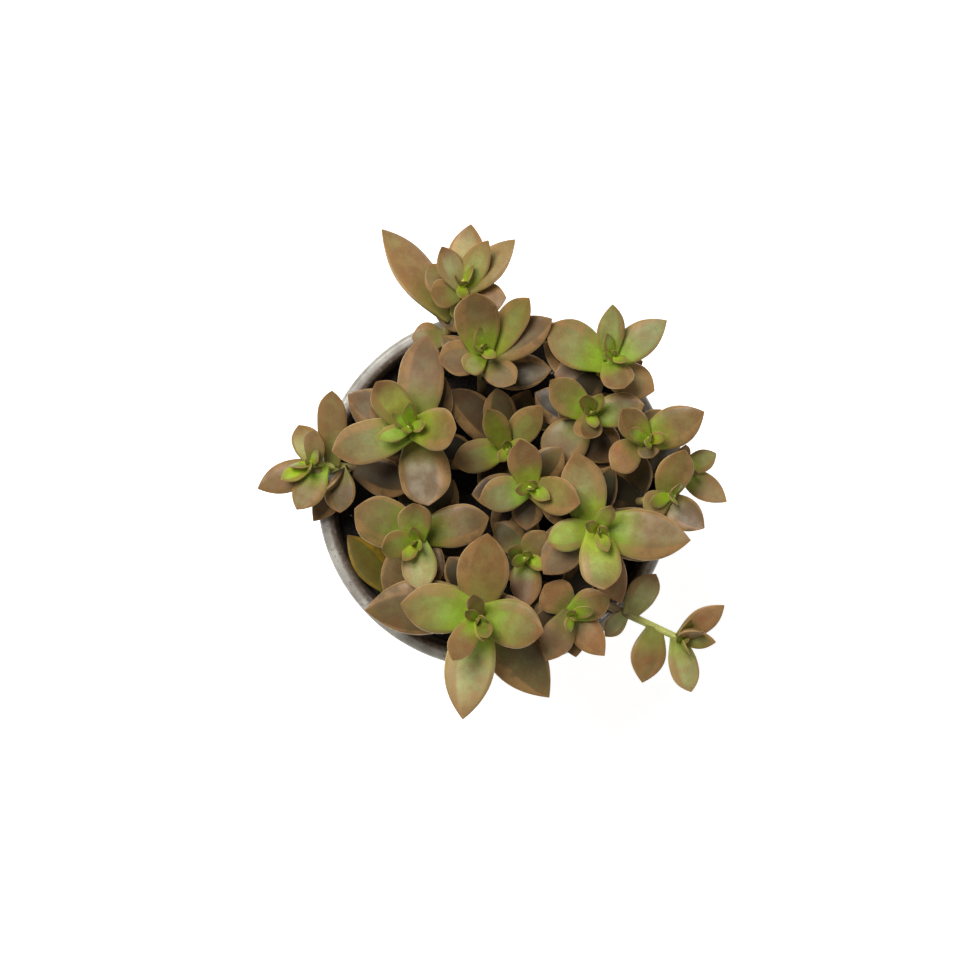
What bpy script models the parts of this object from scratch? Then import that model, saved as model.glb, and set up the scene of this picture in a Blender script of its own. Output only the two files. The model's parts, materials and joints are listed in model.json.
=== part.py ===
"""A potted sedum: leafy stems that end in bronze rosettes, rooted in soil in a round grey nursery pot.

Metres, +Z up. The origin is the middle of the pot's underside. +Y is called north in the stems' names.
"""

import math

import bmesh
import bpy
import numpy as np
from mathutils.bvhtree import BVHTree

MM = 0.001
UP = np.array([0, 0, 1.0])
TINY = 1e-9
MERGE = 1e-6

# The pot
RIM_RADIUS = 51 * MM
POT_HEIGHT = 85 * MM
FOOT_RADIUS = 36 * MM
NECK_RADIUS = 47.2 * MM
LIP_DROP = 8.5 * MM
LIP_TOP_WIDTH = 2.8 * MM
LIP_ROUND = 1.5 * MM
LIP_ROOF = 3.0 * MM
NECK_FLARE = 0.3 * MM
WALL = 1.2 * MM
FLOOR_TOP = 3.6 * MM
FOOT_RING_INNER = 29 * MM
FOOT_CHAMFER = 1 * MM
CHANNEL_INNER = 14 * MM
CHANNEL_DEPTH = 1.8 * MM
DRAIN_HOLES = 6
DRAIN_RADIUS = 3.6 * MM
DRAIN_SIDES = 12
DRILL_SPARE = 2 * MM
POT_SIDES = 36
CREASE_ANGLE = 35

# The soil
SOIL_LEVEL = 77 * MM
SOIL_LUMP = 0.55 * MM
SOIL_EDGE_DROP = 1.0 * MM
SOIL_RINGS = 6
SOIL_SIDES = 24
SEAT_GAP = 0.3 * MM
SOIL_WALL_GAP = 0.45 * MM

# The stems
STEM_ROOT_RADIUS = 1.7 * MM
STEM_TIP_RADIUS = 1.15 * MM
STEM_DEPTH = 9 * MM
STEM_RISE = 1.5
STEM_SIDES = 6
STEM_STATIONS = 7
STEM_TIP_LENGTH = 1.4 * MM
STEM_SEAM = np.array([0.31, 0.95, 0.02])
HOLE_SIDES = 8
HOLE_CUT_OVER_SOIL = 6 * MM
LEAN_OF_ROSETTE = 1.1

# The leaves' shape, as shares of a leaf's width or length, and the powers of its curves
LEAF_TOP_SHARE = 0.14
LEAF_KEEL_SHARE = 0.25
LEAF_BASE_SHARE = 0.48
LEAF_WIDEST = 0.5
LEAF_CUP = 0.10
FLESH_AT_BASE = 0.62
THICKEST_AT = 0.45
BASE_SWELL_POWER = 1.3
KEEL_POWER = 1.5
CUP_FADE_POWER = 1.5
CURL_POWER = 2.4
TIP_THINNING_POWER = 3.2
TIP_ROUND_POWER = 0.75
POINTED_TIP_POWER = 2.1
BLUNTER_TIP_POWER = 0.9

# How the leaves stand
LEAF_CURL = 0.06
LIFTED_LEAF_CURL = 0.24
LOWER_LEAF_CURL = -0.04
UPWARD_FACE = 0.65
GOLDEN_ANGLE = 137.5

# The young upright leaves: distance of the base below the stem's end, lift, length and width
YOUNG_LEAVES = (
    (0.3 * MM, 78, 4.5 * MM, 2.4 * MM),
    (0.7 * MM, 66, 6.5 * MM, 3 * MM),
    (1.1 * MM, 54, 8 * MM, 3.6 * MM),
    (1.6 * MM, 42, 9 * MM, 4.2 * MM),
)
YOUNG_LEAF_TURN = 46

# The older leaves below a rosette
MOST_LOWER_LEAVES = 8
FIRST_LOWER_LEAF = 12 * MM
LOWER_LEAF_SPACING = 3.2 * MM
LOWEST_LEAF = 3.5 * MM
LOWER_LEAF_LENGTH = 14.5 * MM
LOWER_LEAF_EXTRA_LENGTH = 4 * MM
LOWER_LEAF_WIDTH = 9 * MM
LOWER_LEAF_EXTRA_WIDTH = 2 * MM
LOWER_LEAF_LIFT = 20
LOWER_LEAF_LIFT_LOSS = 5
LOWER_LEAF_BEARING = 20
LOWER_LEAF_TURN = 65

# Each rosette: where its stem is rooted (x, y), where the stem ends (x, y, height over the rim), and the
# leaves that show from above, as (bearing and reach of the leaf's tip from the stem's end, width, lift,
# distance of the leaf's base below the stem's end, roll, bluntness from 0 to 1) in millimetres and degrees.
ROSETTES = {
    "north": ((-17, 35), (-9, 57.5, 22), (
        (118, 11, 7.5, 25, 2, 0, 0), (80, 15.5, 10.5, 14, 2.5, 0, 0), (59, 14, 8, 18, 4, 0, 0),
        (36, 18.5, 10.5, 12, 4.3, -20, 0), (-160, 9.5, 8.5, 24, 4.5, 0, 1), (152, 11, 9, 6, 7, 0, 0.8),
        (-21, 13, 10, 14, 7, 0, 1), (150, 27.5, 14, 8, 12.5, 25, 0), (245, 13, 8, 12, 12, 0, 1),
        (-135, 20.5, 9, 5, 20, 0, 0.6),
    )),
    "north_inner": ((-4, 27), (-3.5, 39.5, 22), (
        (99, 14.5, 12.5, 32, 3, 0, 1.5), (231, 9, 7, 36, 4.2, 0, 0.5), (-161, 12, 10.5, 24, 4, 0, 0.8),
        (-49, 13.5, 8.5, 24, 6.1, 0, 1), (44, 19, 9, 20, 6.5, 0, 1.5), (22, 20.5, 10.5, 14, 6, 0, 0.5),
        (-17, 20.5, 10.5, -2, 13, 0, 0.5), (160, 12, 8, 0, 12, 0, 0.5),
    )),
    "northwest": ((-20, 14), (-23.5, 17.5, 26), (
        (-158, 9.5, 5, 24, 1.5, 0, 0), (127, 15, 10, 26, 3, 0, 1.5), (-4, 13, 12, 38, 4, 0, 1),
        (79, 26, 13, 4, 8, 0, 0.8), (-162, 22.5, 12, 10, 5, 0, 1.3), (-76, 22.5, 14.5, 14, 13, 0, 1.6),
        (152, 20, 12.5, 0, 12, 0, 0.6), (101, 7, 4.2, 42, 1.4, 0, 0),
    )),
    "west": ((-34, 6), (-52.5, 7.5, 12), (
        (212, 8, 5, 26, 1, 0, 0), (72, 9, 6.5, 36, 2, 0, 0.6), (104, 10.5, 8.5, 20, 3, 0, 1),
        (211, 16, 9, 4, 4, 0, 0.2), (-98, 14, 9.5, 12, 5, 0, 0.4), (70, 21.5, 8.5, 24, 8, 10, 1.6),
        (-59, 16, 9.5, 8, 10, 0, 1), (-87, 16.5, 9, -14, 12, 0, 0),
    )),
    "southwest": ((-20, -10), (-22, -14.5, 20), (
        (-171, 9, 8, 40, 2, 0, 1), (94, 11, 9.5, 34, 3, 0, 0.7), (-83, 13.5, 10, 14, 4, 0, 0.6),
        (151, 19.5, 14, 10, 5.5, 0, 1.4), (20, 21.5, 12, 6, 8, 0, 1.2), (-119, 18, 11, -6, 10, 0, 0.6),
    )),
    "south": ((-6, -27), (-4.5, -35.5, 28), (
        (101, 7.5, 5, 45, 1.5, 0, 0), (-59, 6.5, 4.5, 45, 1.5, 0, 0), (-125, 12.5, 7.5, 38, 3, 0, 0.8),
        (-9, 18, 13.5, 18, 4, 0, 0.5), (168, 22, 14, 10, 5, 0, 0.4), (84, 24, 14.5, 18, 6.5, 0, 0.2),
        (-99, 28, 14, 4, 7.5, 0, 0.1), (176, 32, 16, -4, 12, 0, 0.1), (-49, 30, 16, -8, 13, 0, 0.1),
    )),
    "centre": ((9, 1), (9.6, 0.8, 26), (
        (102, 13.5, 9.5, 28, 3, 0, 0.2), (-166, 14.5, 10, 18, 4, 0, 0.4),
        (-19, 15.5, 10.5, 24, 4, 0, 0.2), (-95, 12, 9, 0, 9, 0, 0.5),
    )),
    "north_centre": ((3, 13), (3.5, 11.5, 12), (
        (119, 12.5, 7.5, 32, 2, 0, 0.2), (50, 15.5, 9, 20, 3.5, 0, 0), (-166, 16, 9.5, 12, 5, 0, 0.8),
        (132, 23, 11, 12, 8, 0, 0.6), (102, 18, 9.5, 12, 8, 0, 0.8), (64, 19, 10, -5, 10, 0, 0.4),
    )),
    "northeast_inner": ((23, 17), (26.5, 21.5, 22), (
        (87, 6, 5, 40, 1.5, 0, 0.3), (261, 7.5, 8, 40, 2.5, 0, 1), (145, 15, 10, 20, 4, 0, 0.4),
        (2, 14, 9.5, 20, 5, 0, 0.8), (223, 18.5, 13, 0, 8.5, 0, 1), (158, 16.5, 11, -4, 11, 0, 0.4),
        (-66, 15, 12, -6, 11, 0, 0.6),
    )),
    "northeast": ((25, 27), (32.5, 37.5, 24), (
        (-75, 10, 9, 36, 4, 0, 1), (94, 13.5, 8, 22, 3.2, 0, 0), (31, 17.5, 10, 12, 5, 0, 0),
        (157, 20, 13, 6, 6.4, 0, 0.6), (-40, 15.5, 10.5, 0, 9, 0, 1), (200, 17, 11, -10, 12, 0, 0.5),
    )),
    "east": ((32, 11), (43, 14, 22), (
        (138, 10, 8.5, 36, 2.5, 0, 0.4), (28, 16.5, 11.5, 16, 4.5, 0, 0), (-85, 5, 6, 30, 4, 0, 1),
        (-144, 13.5, 9.5, 18, 7, 0, 0.6), (55, 10, 9, -5, 10, 0, 0.6),
    )),
    "east_low": ((36, -4), (49.5, -1.5, 18), (
        (-156, 8, 8, 36, 2.5, 0, 0.3), (83, 13.5, 10.5, 20, 4, 0, 0.3), (-47, 12.5, 9.5, 16, 5, 0, 0),
        (-95, 11, 8, 0, 8, 0, 0.5),
    )),
    "far_east": ((39, 4), (55, 6, 8), (
        (32, 8.5, 6.5, 16, 2, 0, 0.3), (-43, 14, 8, 4, 3.5, 0, 0), (110, 6, 5, 40, 3, 0, 0.4),
    )),
    "southeast": ((22, -8), (28.5, -11, 30), (
        (68, 7.5, 5, 40, 2, 0, 0), (191, 14.5, 9, 5, 6, 0, 1), (-86, 16, 11.5, 20, 4, 0, 1.6),
        (108, 22.5, 13, 10, 8, 0, 0.2), (-6, 25, 14, 10, 6, 0, 0.1), (-8, 25, 15, -14, 12, 0, 0),
        (-72, 21.5, 10.5, -4, 13, 0, 0.6), (219, 19.5, 11, 0, 12, 0, 0.6),
    )),
    "south_centre": ((9, -17), (8.5, -19, 14), (
        (56, 9.5, 8, 30, 2.5, 0, 0.3), (156, 5.5, 5, 40, 3, 0, 0.4), (-90, 14, 9, 10, 4, 0, 0.2),
        (131, 13, 8.5, 0, 8, 0, 0.8), (95, 13.5, 9.5, -6, 10, 0, 0.6),
    )),
    "south_southeast": ((19, -28), (21.5, -35.5, 18), (
        (32, 12, 9.5, 20, 3, 0, 0), (238, 14, 9.5, 12, 4, 0, 0), (-49, 14, 9, 6, 5, 0, 0),
        (130, 12, 10.5, 10, 6, 0, 0.8), (-165, 11, 10, 0, 9, 0, 0.3),
    )),
    "trailing": ((24, -29), (53.5, -42.5, 8), (
        (86, 5.5, 7, 45, 1.4, 0, 0.3), (-4, 8.5, 5, 12, 1.5, 0, 0), (45, 15, 7.5, 12, 2, 0, 0),
        (-84, 14.5, 8.5, 6, 3, 0, 1), (-135, 17, 10.5, 0, 10, 0, 0), (114, 21, 9, 14, 18, 0, 0.8),
        (177, 22.5, 6, 6, 19, 0, 0.2),
    )),
}
# The most leaves that grow below the listed ones, where it isn't MOST_LOWER_LEAVES
FEW_LOWER_LEAVES = {"trailing": 0, "far_east": 2, "west": 2, "north": 0, "north_inner": 1}

# The yellowed leaf that has dropped beside the wall
OLD_LEAF_BASE = np.array([-28.8, -29.8, 78.36]) * MM
OLD_LEAF_BEARING = 130
OLD_LEAF_LIFT = 5
OLD_LEAF_ROLL = 25
OLD_LEAF_LENGTH = 22 * MM
OLD_LEAF_WIDTH = 10.5 * MM

# How the leaves make room for each other
SETTLE_STEPS = 110
SETTLE_GAP = 0.4 * MM
SETTLE_GAIN = 2.2
GIVE_POWER = 0.3
HOLD = 0.03
SHORTEST_ARM = 3 * MM
ROOT_SHARE = 0.38
THINNEST_FLESH = 0.5 * MM
SHOWN_LEAF_GIVE = 0.35
LOWER_LEAF_GIVE = 1.0
FEELERS_ALONG = (0.16, 0.36, 0.55, 0.74, 0.92)
FEELERS_ACROSS = (-0.9, -0.45, 0.0, 0.45, 0.9)
LIP_TUBE_DROPS = (1.8 * MM, 5 * MM)
LIP_TUBE_RADIUS = 2.4 * MM
WALL_CLEARANCE = 1.8 * MM


def unit(vector):
    return vector / math.sqrt(float((vector * vector).sum()))


def bearing_vector(bearing, lift=0.0):
    """A unit vector at a compass-like angle from +X, raised by lift, both in degrees."""
    turn, rise = math.radians(bearing), math.radians(lift)
    return np.array([math.cos(turn) * math.cos(rise), math.sin(turn) * math.cos(rise), math.sin(rise)])


def turned_about(vector, axis, degrees):
    angle = math.radians(degrees)
    return (
        vector * math.cos(angle)
        + np.cross(axis, vector) * math.sin(angle)
        + axis * float(axis @ vector) * (1 - math.cos(angle))
    )


# Leaf shape. A leaf runs along its own x from 0 to its length, y is across it and z out of its upper face.


def half_width(t, width, blunt):
    """Half the leaf's width at t, a share of its length: a narrow base, a broad middle, arcs to a point."""
    if t < LEAF_WIDEST:
        rise = math.sin(0.5 * math.pi * t / LEAF_WIDEST)
        return 0.5 * width * (LEAF_BASE_SHARE + (1 - LEAF_BASE_SHARE) * rise**BASE_SWELL_POWER)
    fall = (t - LEAF_WIDEST) / (1 - LEAF_WIDEST)
    return 0.5 * width * (1 - fall ** (POINTED_TIP_POWER + BLUNTER_TIP_POWER * blunt))


def flesh(t):
    """How thick the leaf is at t, as a share of its thickest."""
    swell = math.sin(0.5 * math.pi * min(2.0, t / THICKEST_AT))
    return (FLESH_AT_BASE + (1 - FLESH_AT_BASE) * swell) * (1 - t**TIP_THINNING_POWER) ** TIP_ROUND_POWER


def leaf_point(leaf, t, across, below):
    """A point of the leaf's surface: across is -1 to 1, and below picks the keeled underside."""
    width, length = leaf["width"], leaf["length"]
    if below:
        bulge = -LEAF_KEEL_SHARE * (1 - abs(across) ** KEEL_POWER)
    else:
        bulge = LEAF_TOP_SHARE * (1 - across * across)
    cup = LEAF_CUP * across * across * (1 - t) ** CUP_FADE_POWER
    z = width * (bulge * flesh(t) + cup) + leaf["curl"] * length * t**CURL_POWER
    return np.array([length * t, half_width(t, width, leaf["blunt"]) * across, z])


def leaf_place(leaf, t, across, below):
    return leaf["base"] + leaf["frame"] @ leaf_point(leaf, t, across, below)


# Layout: stems and leaves as plain records, before any mesh is made


def stem_line(root, top):
    """Points along a stem, from the bottom of its hole to the growing tip, and its direction at the tip."""
    start = np.array([root[0] * MM, root[1] * MM, SOIL_LEVEL])
    end = np.array([top[0] * MM, top[1] * MM, POT_HEIGHT + top[2] * MM])
    slope = LEAN_OF_ROSETTE * (end - start) * np.array([1, 1, 0]) / (end[2] - start[2])
    axis = unit(slope / max(1.0, math.sqrt(float(slope @ slope))) + UP)
    reach = math.sqrt(float(((end - start) ** 2).sum()))
    points = [start - (STEM_DEPTH - SEAT_GAP) * UP]
    for share in np.linspace(0, 1, STEM_STATIONS):
        s2, s3 = share**2, share**3
        points.append(
            start * (2 * s3 - 3 * s2 + 1)
            + UP * STEM_RISE * reach * (s3 - 2 * s2 + share)
            + end * (3 * s2 - 2 * s3)
            + axis * reach * (s3 - s2)
        )
    return np.array(points), axis


def point_below_tip(line, distance):
    """The place on a stem at this distance below its tip, and the stem's direction there."""
    for upper, lower in zip(line[::-1], line[-2::-1]):
        step = upper - lower
        size = math.sqrt(float(step @ step))
        if distance <= size:
            return upper - step * (distance / size), step / size
        distance -= size
    return line[0], UP


def make_leaf(stem, kind, base, face, bearing, lift, length, width, curl, roll=0, blunt=0.0, give=0.0):
    """A leaf's record. Its frame's columns are its length, its breadth and its upper face."""
    along = bearing_vector(bearing, lift)
    out = turned_about(unit(face - along * float(face @ along)), along, roll)
    return {
        "stem": stem,
        "kind": kind,
        "base": base,
        "frame": np.array([along, np.cross(out, along), out]).T,
        "length": length,
        "width": width,
        "curl": curl,
        "blunt": blunt,
        "give": give,
    }


def shown_leaves(name, line, axis):
    """The listed leaves, each as long as it must be for its tip to lie where it is listed."""
    leaves = []
    face = (1 - UPWARD_FACE) * axis + UPWARD_FACE * UP
    for bearing, reach, width, lift, below, roll, blunt in ROSETTES[name][2]:
        base, _ = point_below_tip(line, below * MM)
        across = line[-1] + reach * MM * bearing_vector(bearing) - base
        rise = math.radians(lift)
        curl = LEAF_CURL + LIFTED_LEAF_CURL * max(0.0, math.sin(rise))
        length = math.hypot(across[0], across[1]) / (math.cos(rise) - curl * math.sin(rise))
        heading = math.degrees(math.atan2(across[1], across[0]))
        leaves.append(make_leaf(name, "shown", base, face, heading, lift, length, width * MM, curl, roll,
                                blunt, SHOWN_LEAF_GIVE))
    return leaves


def young_leaves(name, line, axis, number):
    """The small upright leaves round the growing tip."""
    leaves = []
    for n, (below, lift, length, width) in enumerate(YOUNG_LEAVES):
        base, _ = point_below_tip(line, below)
        bearing = YOUNG_LEAF_TURN * number + GOLDEN_ANGLE * n
        leaves.append(make_leaf(name, "young", base, axis, bearing, lift, length, width, LEAF_CURL))
    return leaves


def lower_leaves(name, line, number):
    """Older leaves in a spiral down the stem, from below the rosette to just above the soil."""
    leaves = []
    for n in range(FEW_LOWER_LEAVES.get(name, MOST_LOWER_LEAVES)):
        base, along = point_below_tip(line, FIRST_LOWER_LEAF + n * LOWER_LEAF_SPACING)
        if base[2] < SOIL_LEVEL + LOWEST_LEAF:
            break
        grow = 0.5 + 0.5 * math.sin(2.3 * n + 1.7 * number)
        bearing = LOWER_LEAF_BEARING + LOWER_LEAF_TURN * number + GOLDEN_ANGLE * n
        lift = LOWER_LEAF_LIFT - LOWER_LEAF_LIFT_LOSS * n
        length = LOWER_LEAF_LENGTH + LOWER_LEAF_EXTRA_LENGTH * grow
        width = LOWER_LEAF_WIDTH + LOWER_LEAF_EXTRA_WIDTH * grow
        leaves.append(make_leaf(name, "lower", base, along, bearing, lift, length, width, LOWER_LEAF_CURL,
                                blunt=1 - grow, give=LOWER_LEAF_GIVE))
    return leaves


def soil_height(x, y):
    """The uneven top of the soil, a little lower beside the wall."""
    r = math.hypot(x, y) / NECK_RADIUS
    lumps = math.sin(310 * x + 1.1) * math.sin(270 * y + 0.4) + 0.6 * math.sin(520 * y - 340 * x)
    return SOIL_LEVEL + SOIL_LUMP * lumps * (1 - r**4) - SOIL_EDGE_DROP * r**3


def old_leaf():
    """The dropped leaf, turned a little so that its upper face looks up and inward."""
    return make_leaf("old_leaf", "old", OLD_LEAF_BASE, UP, OLD_LEAF_BEARING, OLD_LEAF_LIFT, OLD_LEAF_LENGTH,
                     OLD_LEAF_WIDTH, LEAF_CURL, OLD_LEAF_ROLL)


def lay_out_plant():
    """Every stem's line and every leaf, as they would stand if nothing were in their way."""
    lines, leaves = {}, []
    for number, (name, (root, top, _)) in enumerate(ROSETTES.items()):
        line, axis = stem_line(root, top)
        lines[name] = line
        leaves += shown_leaves(name, line, axis)
        leaves += young_leaves(name, line, axis, number)
        leaves += lower_leaves(name, line, number)
    return lines, leaves + [old_leaf()]


# Settling: leaves that would cross turn about their roots until they are clear


def feelers(leaf):
    """Points inside the leaf with the radius of its flesh there."""
    points, radii = [], []
    for t in FEELERS_ALONG:
        for across in FEELERS_ACROSS:
            upper = leaf_point(leaf, t, across, False)
            lower = leaf_point(leaf, t, across, True)
            points.append([upper[0], upper[1], 0.5 * (upper[2] + lower[2])])
            radii.append(max(0.5 * (upper[2] - lower[2]), THINNEST_FLESH) + 0.5 * SETTLE_GAP)
    return points, radii


def stem_feelers(line):
    """Points along a stem above the soil, closer together than its stations."""
    return np.concatenate([line[1:], 0.5 * (line[1:-1] + line[2:])])


def small_turns(spin):
    """Rotation matrices for small rotation vectors, one for each row."""
    angle = np.sqrt((spin * spin).sum(1)) + 1e-12
    axis = spin / angle[:, None]
    c, s = np.cos(angle), np.sin(angle)
    x, y, z = axis.T
    rows = [
        [c + x * x * (1 - c), x * y * (1 - c) - z * s, x * z * (1 - c) + y * s],
        [y * x * (1 - c) + z * s, c + y * y * (1 - c), y * z * (1 - c) - x * s],
        [z * x * (1 - c) - y * s, z * y * (1 - c) + x * s, c + z * z * (1 - c)],
    ]
    return np.array(rows).transpose(2, 0, 1)


def push_between_leaves(world, radii, give, owner, outer, pairs):
    """The push of other leaves on each feeler, and how many feelers press on it."""
    low, high = (world - radii[..., None]).min(1), (world + radii[..., None]).max(1)
    first, second = pairs
    near = ((low[first] < high[second]) & (low[second] < high[first])).all(1)
    a, b = first[near], second[near]
    apart = world[a][:, :, None] - world[b][:, None]
    distance = np.sqrt((apart * apart).sum(3)) + TINY
    depth = np.maximum(radii[a][:, :, None] + radii[b][:, None] - distance, 0)
    same_stem = (owner[a] == owner[b])[:, None, None]
    both_outer = outer[a][:, :, None] & outer[b][:, None]
    depth = np.where(same_stem & ~both_outer, 0, depth)
    share = (give[a] / np.maximum(give[a] + give[b], TINY))[:, None, None]
    push = apart * (depth / distance)[..., None]
    total = np.zeros_like(world)
    count = np.zeros(world.shape[:2])
    np.add.at(total, a, (push * share[..., None]).sum(2))
    np.add.at(total, b, -(push * (1 - share)[..., None]).sum(1))
    np.add.at(count, a, (depth > 0).sum(2))
    np.add.at(count, b, (depth > 0).sum(1))
    return total, count


def push_from_stems(world, radii, owner, lines):
    """The push of the other stems on each feeler, and how many points of them press on it."""
    points = [stem_feelers(line) for line in lines.values()]
    stem_owner = np.repeat(np.arange(len(points)), [len(part) for part in points])
    away = world[:, :, None] - np.concatenate(points)
    distance = np.sqrt((away**2).sum(3)) + TINY
    depth = np.maximum(radii[:, :, None] + STEM_ROOT_RADIUS - distance, 0)
    depth = np.where((owner[:, None] == stem_owner)[:, None], 0, depth)
    return (away * (depth / distance)[..., None]).sum(2), (depth > 0).sum(2)


def push_from_pot(world, radii):
    """The push of the pot's lip, its wall and the soil on each feeler, and whether they press on it."""
    out = np.sqrt(world[..., 0] ** 2 + world[..., 1] ** 2) + TINY
    radial = world[..., :2] / out[..., None]
    push = np.zeros_like(world)
    lip_radius = RIM_RADIUS - 0.5 * LIP_TOP_WIDTH
    for drop in LIP_TUBE_DROPS:
        beside, over = out - lip_radius, world[..., 2] - (POT_HEIGHT - drop)
        apart = np.sqrt(beside * beside + over * over) + TINY
        depth = np.maximum(LIP_TUBE_RADIUS + radii - apart, 0) / apart
        push[..., :2] += radial * (beside * depth)[..., None]
        push[..., 2] += np.maximum(over, SEAT_GAP) * depth
    inside = out < lip_radius
    sunk = inside & (world[..., 2] < POT_HEIGHT)
    wall = inner_wall_radius(world[..., 2]) - WALL_CLEARANCE
    into_wall = np.where(sunk, np.maximum(out + radii - wall, 0), 0)
    push[..., :2] -= radial * into_wall[..., None]
    push[..., 2] += np.where(inside, np.maximum(SOIL_LEVEL + SOIL_LUMP + radii - world[..., 2], 0), 0)
    return push, (push**2).sum(2) > 0


def turn_of_leaves(arm, push, count, give):
    """The small turn about its root that each leaf makes under the pushes on its feelers."""
    turn = np.cross(arm, push) / ((arm**2).sum(2) + SHORTEST_ARM**2)[..., None]
    gain = SETTLE_GAIN * give**GIVE_POWER
    return turn.sum(1) * (gain / np.maximum(count.sum(1), 1))[:, None]


def settle(leaves, lines):
    """Turns each leaf about its root until it presses on nothing. Shown leaves give way the least."""
    base = np.array([leaf["base"] for leaf in leaves])
    frame = np.array([leaf["frame"] for leaf in leaves])
    give = np.array([leaf["give"] for leaf in leaves])
    length = np.array([leaf["length"] for leaf in leaves])
    wanted = frame.copy()
    stems = {name: n for n, name in enumerate(lines)}
    owner = np.array([stems.get(leaf["stem"], -1) for leaf in leaves])
    local, radii = (np.array(part) for part in zip(*(feelers(leaf) for leaf in leaves)))
    outer = local[:, :, 0] > ROOT_SHARE * length[:, None]
    pairs = np.triu_indices(len(leaves), 1)
    for step in range(SETTLE_STEPS):
        world = base[:, None] + np.einsum("nij,nkj->nki", frame, local)
        pushes = (
            push_between_leaves(world, radii, give, owner, outer, pairs),
            push_from_stems(world, radii, owner, lines),
            push_from_pot(world, radii),
        )
        push = sum(part for part, _ in pushes)
        count = sum(part for _, part in pushes)
        turn = turn_of_leaves(world - base[:, None], push, count, give)
        back = 0.5 * sum(np.cross(frame[:, :, n], wanted[:, :, n]) for n in range(3))
        hold = HOLD * (1 - step / SETTLE_STEPS) * (give > 0)
        frame = np.einsum("nij,njk->nik", small_turns(turn + hold[:, None] * back), frame)
    for leaf, turned_frame in zip(leaves, frame):
        leaf["frame"] = turned_frame
    return without_crossed_leaves(leaves, lines)


def surface_tree(verts, faces):
    return BVHTree.FromPolygons([tuple(map(float, v)) for v in verts], faces)


def without_crossed_leaves(leaves, lines):
    """Leaves out each lower leaf that still crosses another stem or one of its leaves."""
    kept = [leaf for leaf in leaves if leaf["kind"] != "lower"]
    solid = [(leaf["stem"], surface_tree(*leaf_mesh(leaf))) for leaf in kept]
    solid += [(name, surface_tree(*stem_mesh(line))) for name, line in lines.items()]
    for leaf in leaves:
        if leaf["kind"] == "lower":
            own = surface_tree(*leaf_mesh(leaf))
            if not any(name != leaf["stem"] and own.overlap(other) for name, other in solid):
                kept.append(leaf)
                solid.append((leaf["stem"], own))
    return kept


# Meshes


def make_object(name, verts, faces, material):
    mesh = bpy.data.meshes.new(name)
    mesh.from_pydata([tuple(map(float, v)) for v in verts], [], faces)
    mesh.materials.append(material)
    obj = bpy.data.objects.new(name, mesh)
    bpy.context.scene.collection.objects.link(obj)
    edit = bmesh.new()
    edit.from_mesh(mesh)
    bmesh.ops.recalc_face_normals(edit, faces=edit.faces)
    edit.to_mesh(mesh)
    edit.free()
    return obj


def skin(rings, tip=None, start=None):
    """Faces over rings of equal length, closed by a flat cap or by a point at either end."""
    count = len(rings[0])
    verts = [p for ring in rings for p in ring]
    faces = []
    for r in range(len(rings) - 1):
        for n in range(count):
            m = (n + 1) % count
            faces.append((r * count + n, r * count + m, (r + 1) * count + m, (r + 1) * count + n))
    last = (len(rings) - 1) * count
    if tip is None:
        faces.append(tuple(range(last, last + count)))
    else:
        faces += [(last + n, last + (n + 1) % count, len(verts)) for n in range(count)]
        verts.append(tip)
    if start is None:
        faces.append(tuple(range(count - 1, -1, -1)))
    else:
        faces += [((n + 1) % count, n, len(verts)) for n in range(count)]
        verts.append(start)
    return verts, faces


# Where a leaf's mesh has its rings, and the places round each ring as (across, below)
KEELED = ((1, False), (0, False), (-1, False), (-0.45, True), (0.45, True))
LEAF_RINGS = {
    "young": ((0, 0.55), ((1, False), (-1, False), (0, True))),
    "lower": ((0, 0.32, 0.74), KEELED),
    "shown": ((0, 0.24, 0.54, 0.82), KEELED),
    "old": ((0, 0.24, 0.54, 0.82), KEELED),
}


def leaf_mesh(leaf):
    stations, section = LEAF_RINGS[leaf["kind"]]
    rings = [[leaf_place(leaf, t, across, below) for across, below in section] for t in stations]
    return skin(rings, leaf_place(leaf, 1.0, 0, False))


def stem_mesh(line):
    rings = []
    for n, point in enumerate(line):
        along = unit(line[min(n + 1, len(line) - 1)] - line[max(n - 1, 0)])
        side = unit(np.cross(along, STEM_SEAM))
        other = np.cross(along, side)
        radius = STEM_ROOT_RADIUS + (STEM_TIP_RADIUS - STEM_ROOT_RADIUS) * n / (len(line) - 1)
        rings.append([point + radius * (side * math.cos(a) + other * math.sin(a))
                      for a in np.linspace(0, 2 * math.pi, STEM_SIDES, endpoint=False)])
    tip = line[-1] + STEM_TIP_LENGTH * unit(line[-1] - line[-2])
    return skin(rings, tip)


def apply_boolean(obj, others, operation, solver="EXACT"):
    """Joins or cuts obj with the other objects in one Boolean, then removes them."""
    helpers = bpy.data.collections.new(obj.name + "_with")
    bpy.context.scene.collection.children.link(helpers)
    for other in others:
        bpy.context.scene.collection.objects.unlink(other)
        helpers.objects.link(other)
    modifier = obj.modifiers.new("join", "BOOLEAN")
    modifier.operand_type = "COLLECTION"
    modifier.collection = helpers
    modifier.operation = operation
    modifier.solver = solver
    bpy.context.view_layer.update()
    graph = bpy.context.evaluated_depsgraph_get()
    made = bpy.data.meshes.new_from_object(obj.evaluated_get(graph))
    obj.modifiers.clear()
    old, obj.data = obj.data, made
    made.name = obj.name
    bpy.data.meshes.remove(old)
    for other in list(helpers.objects):
        bpy.data.objects.remove(other)
    bpy.data.collections.remove(helpers)


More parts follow.
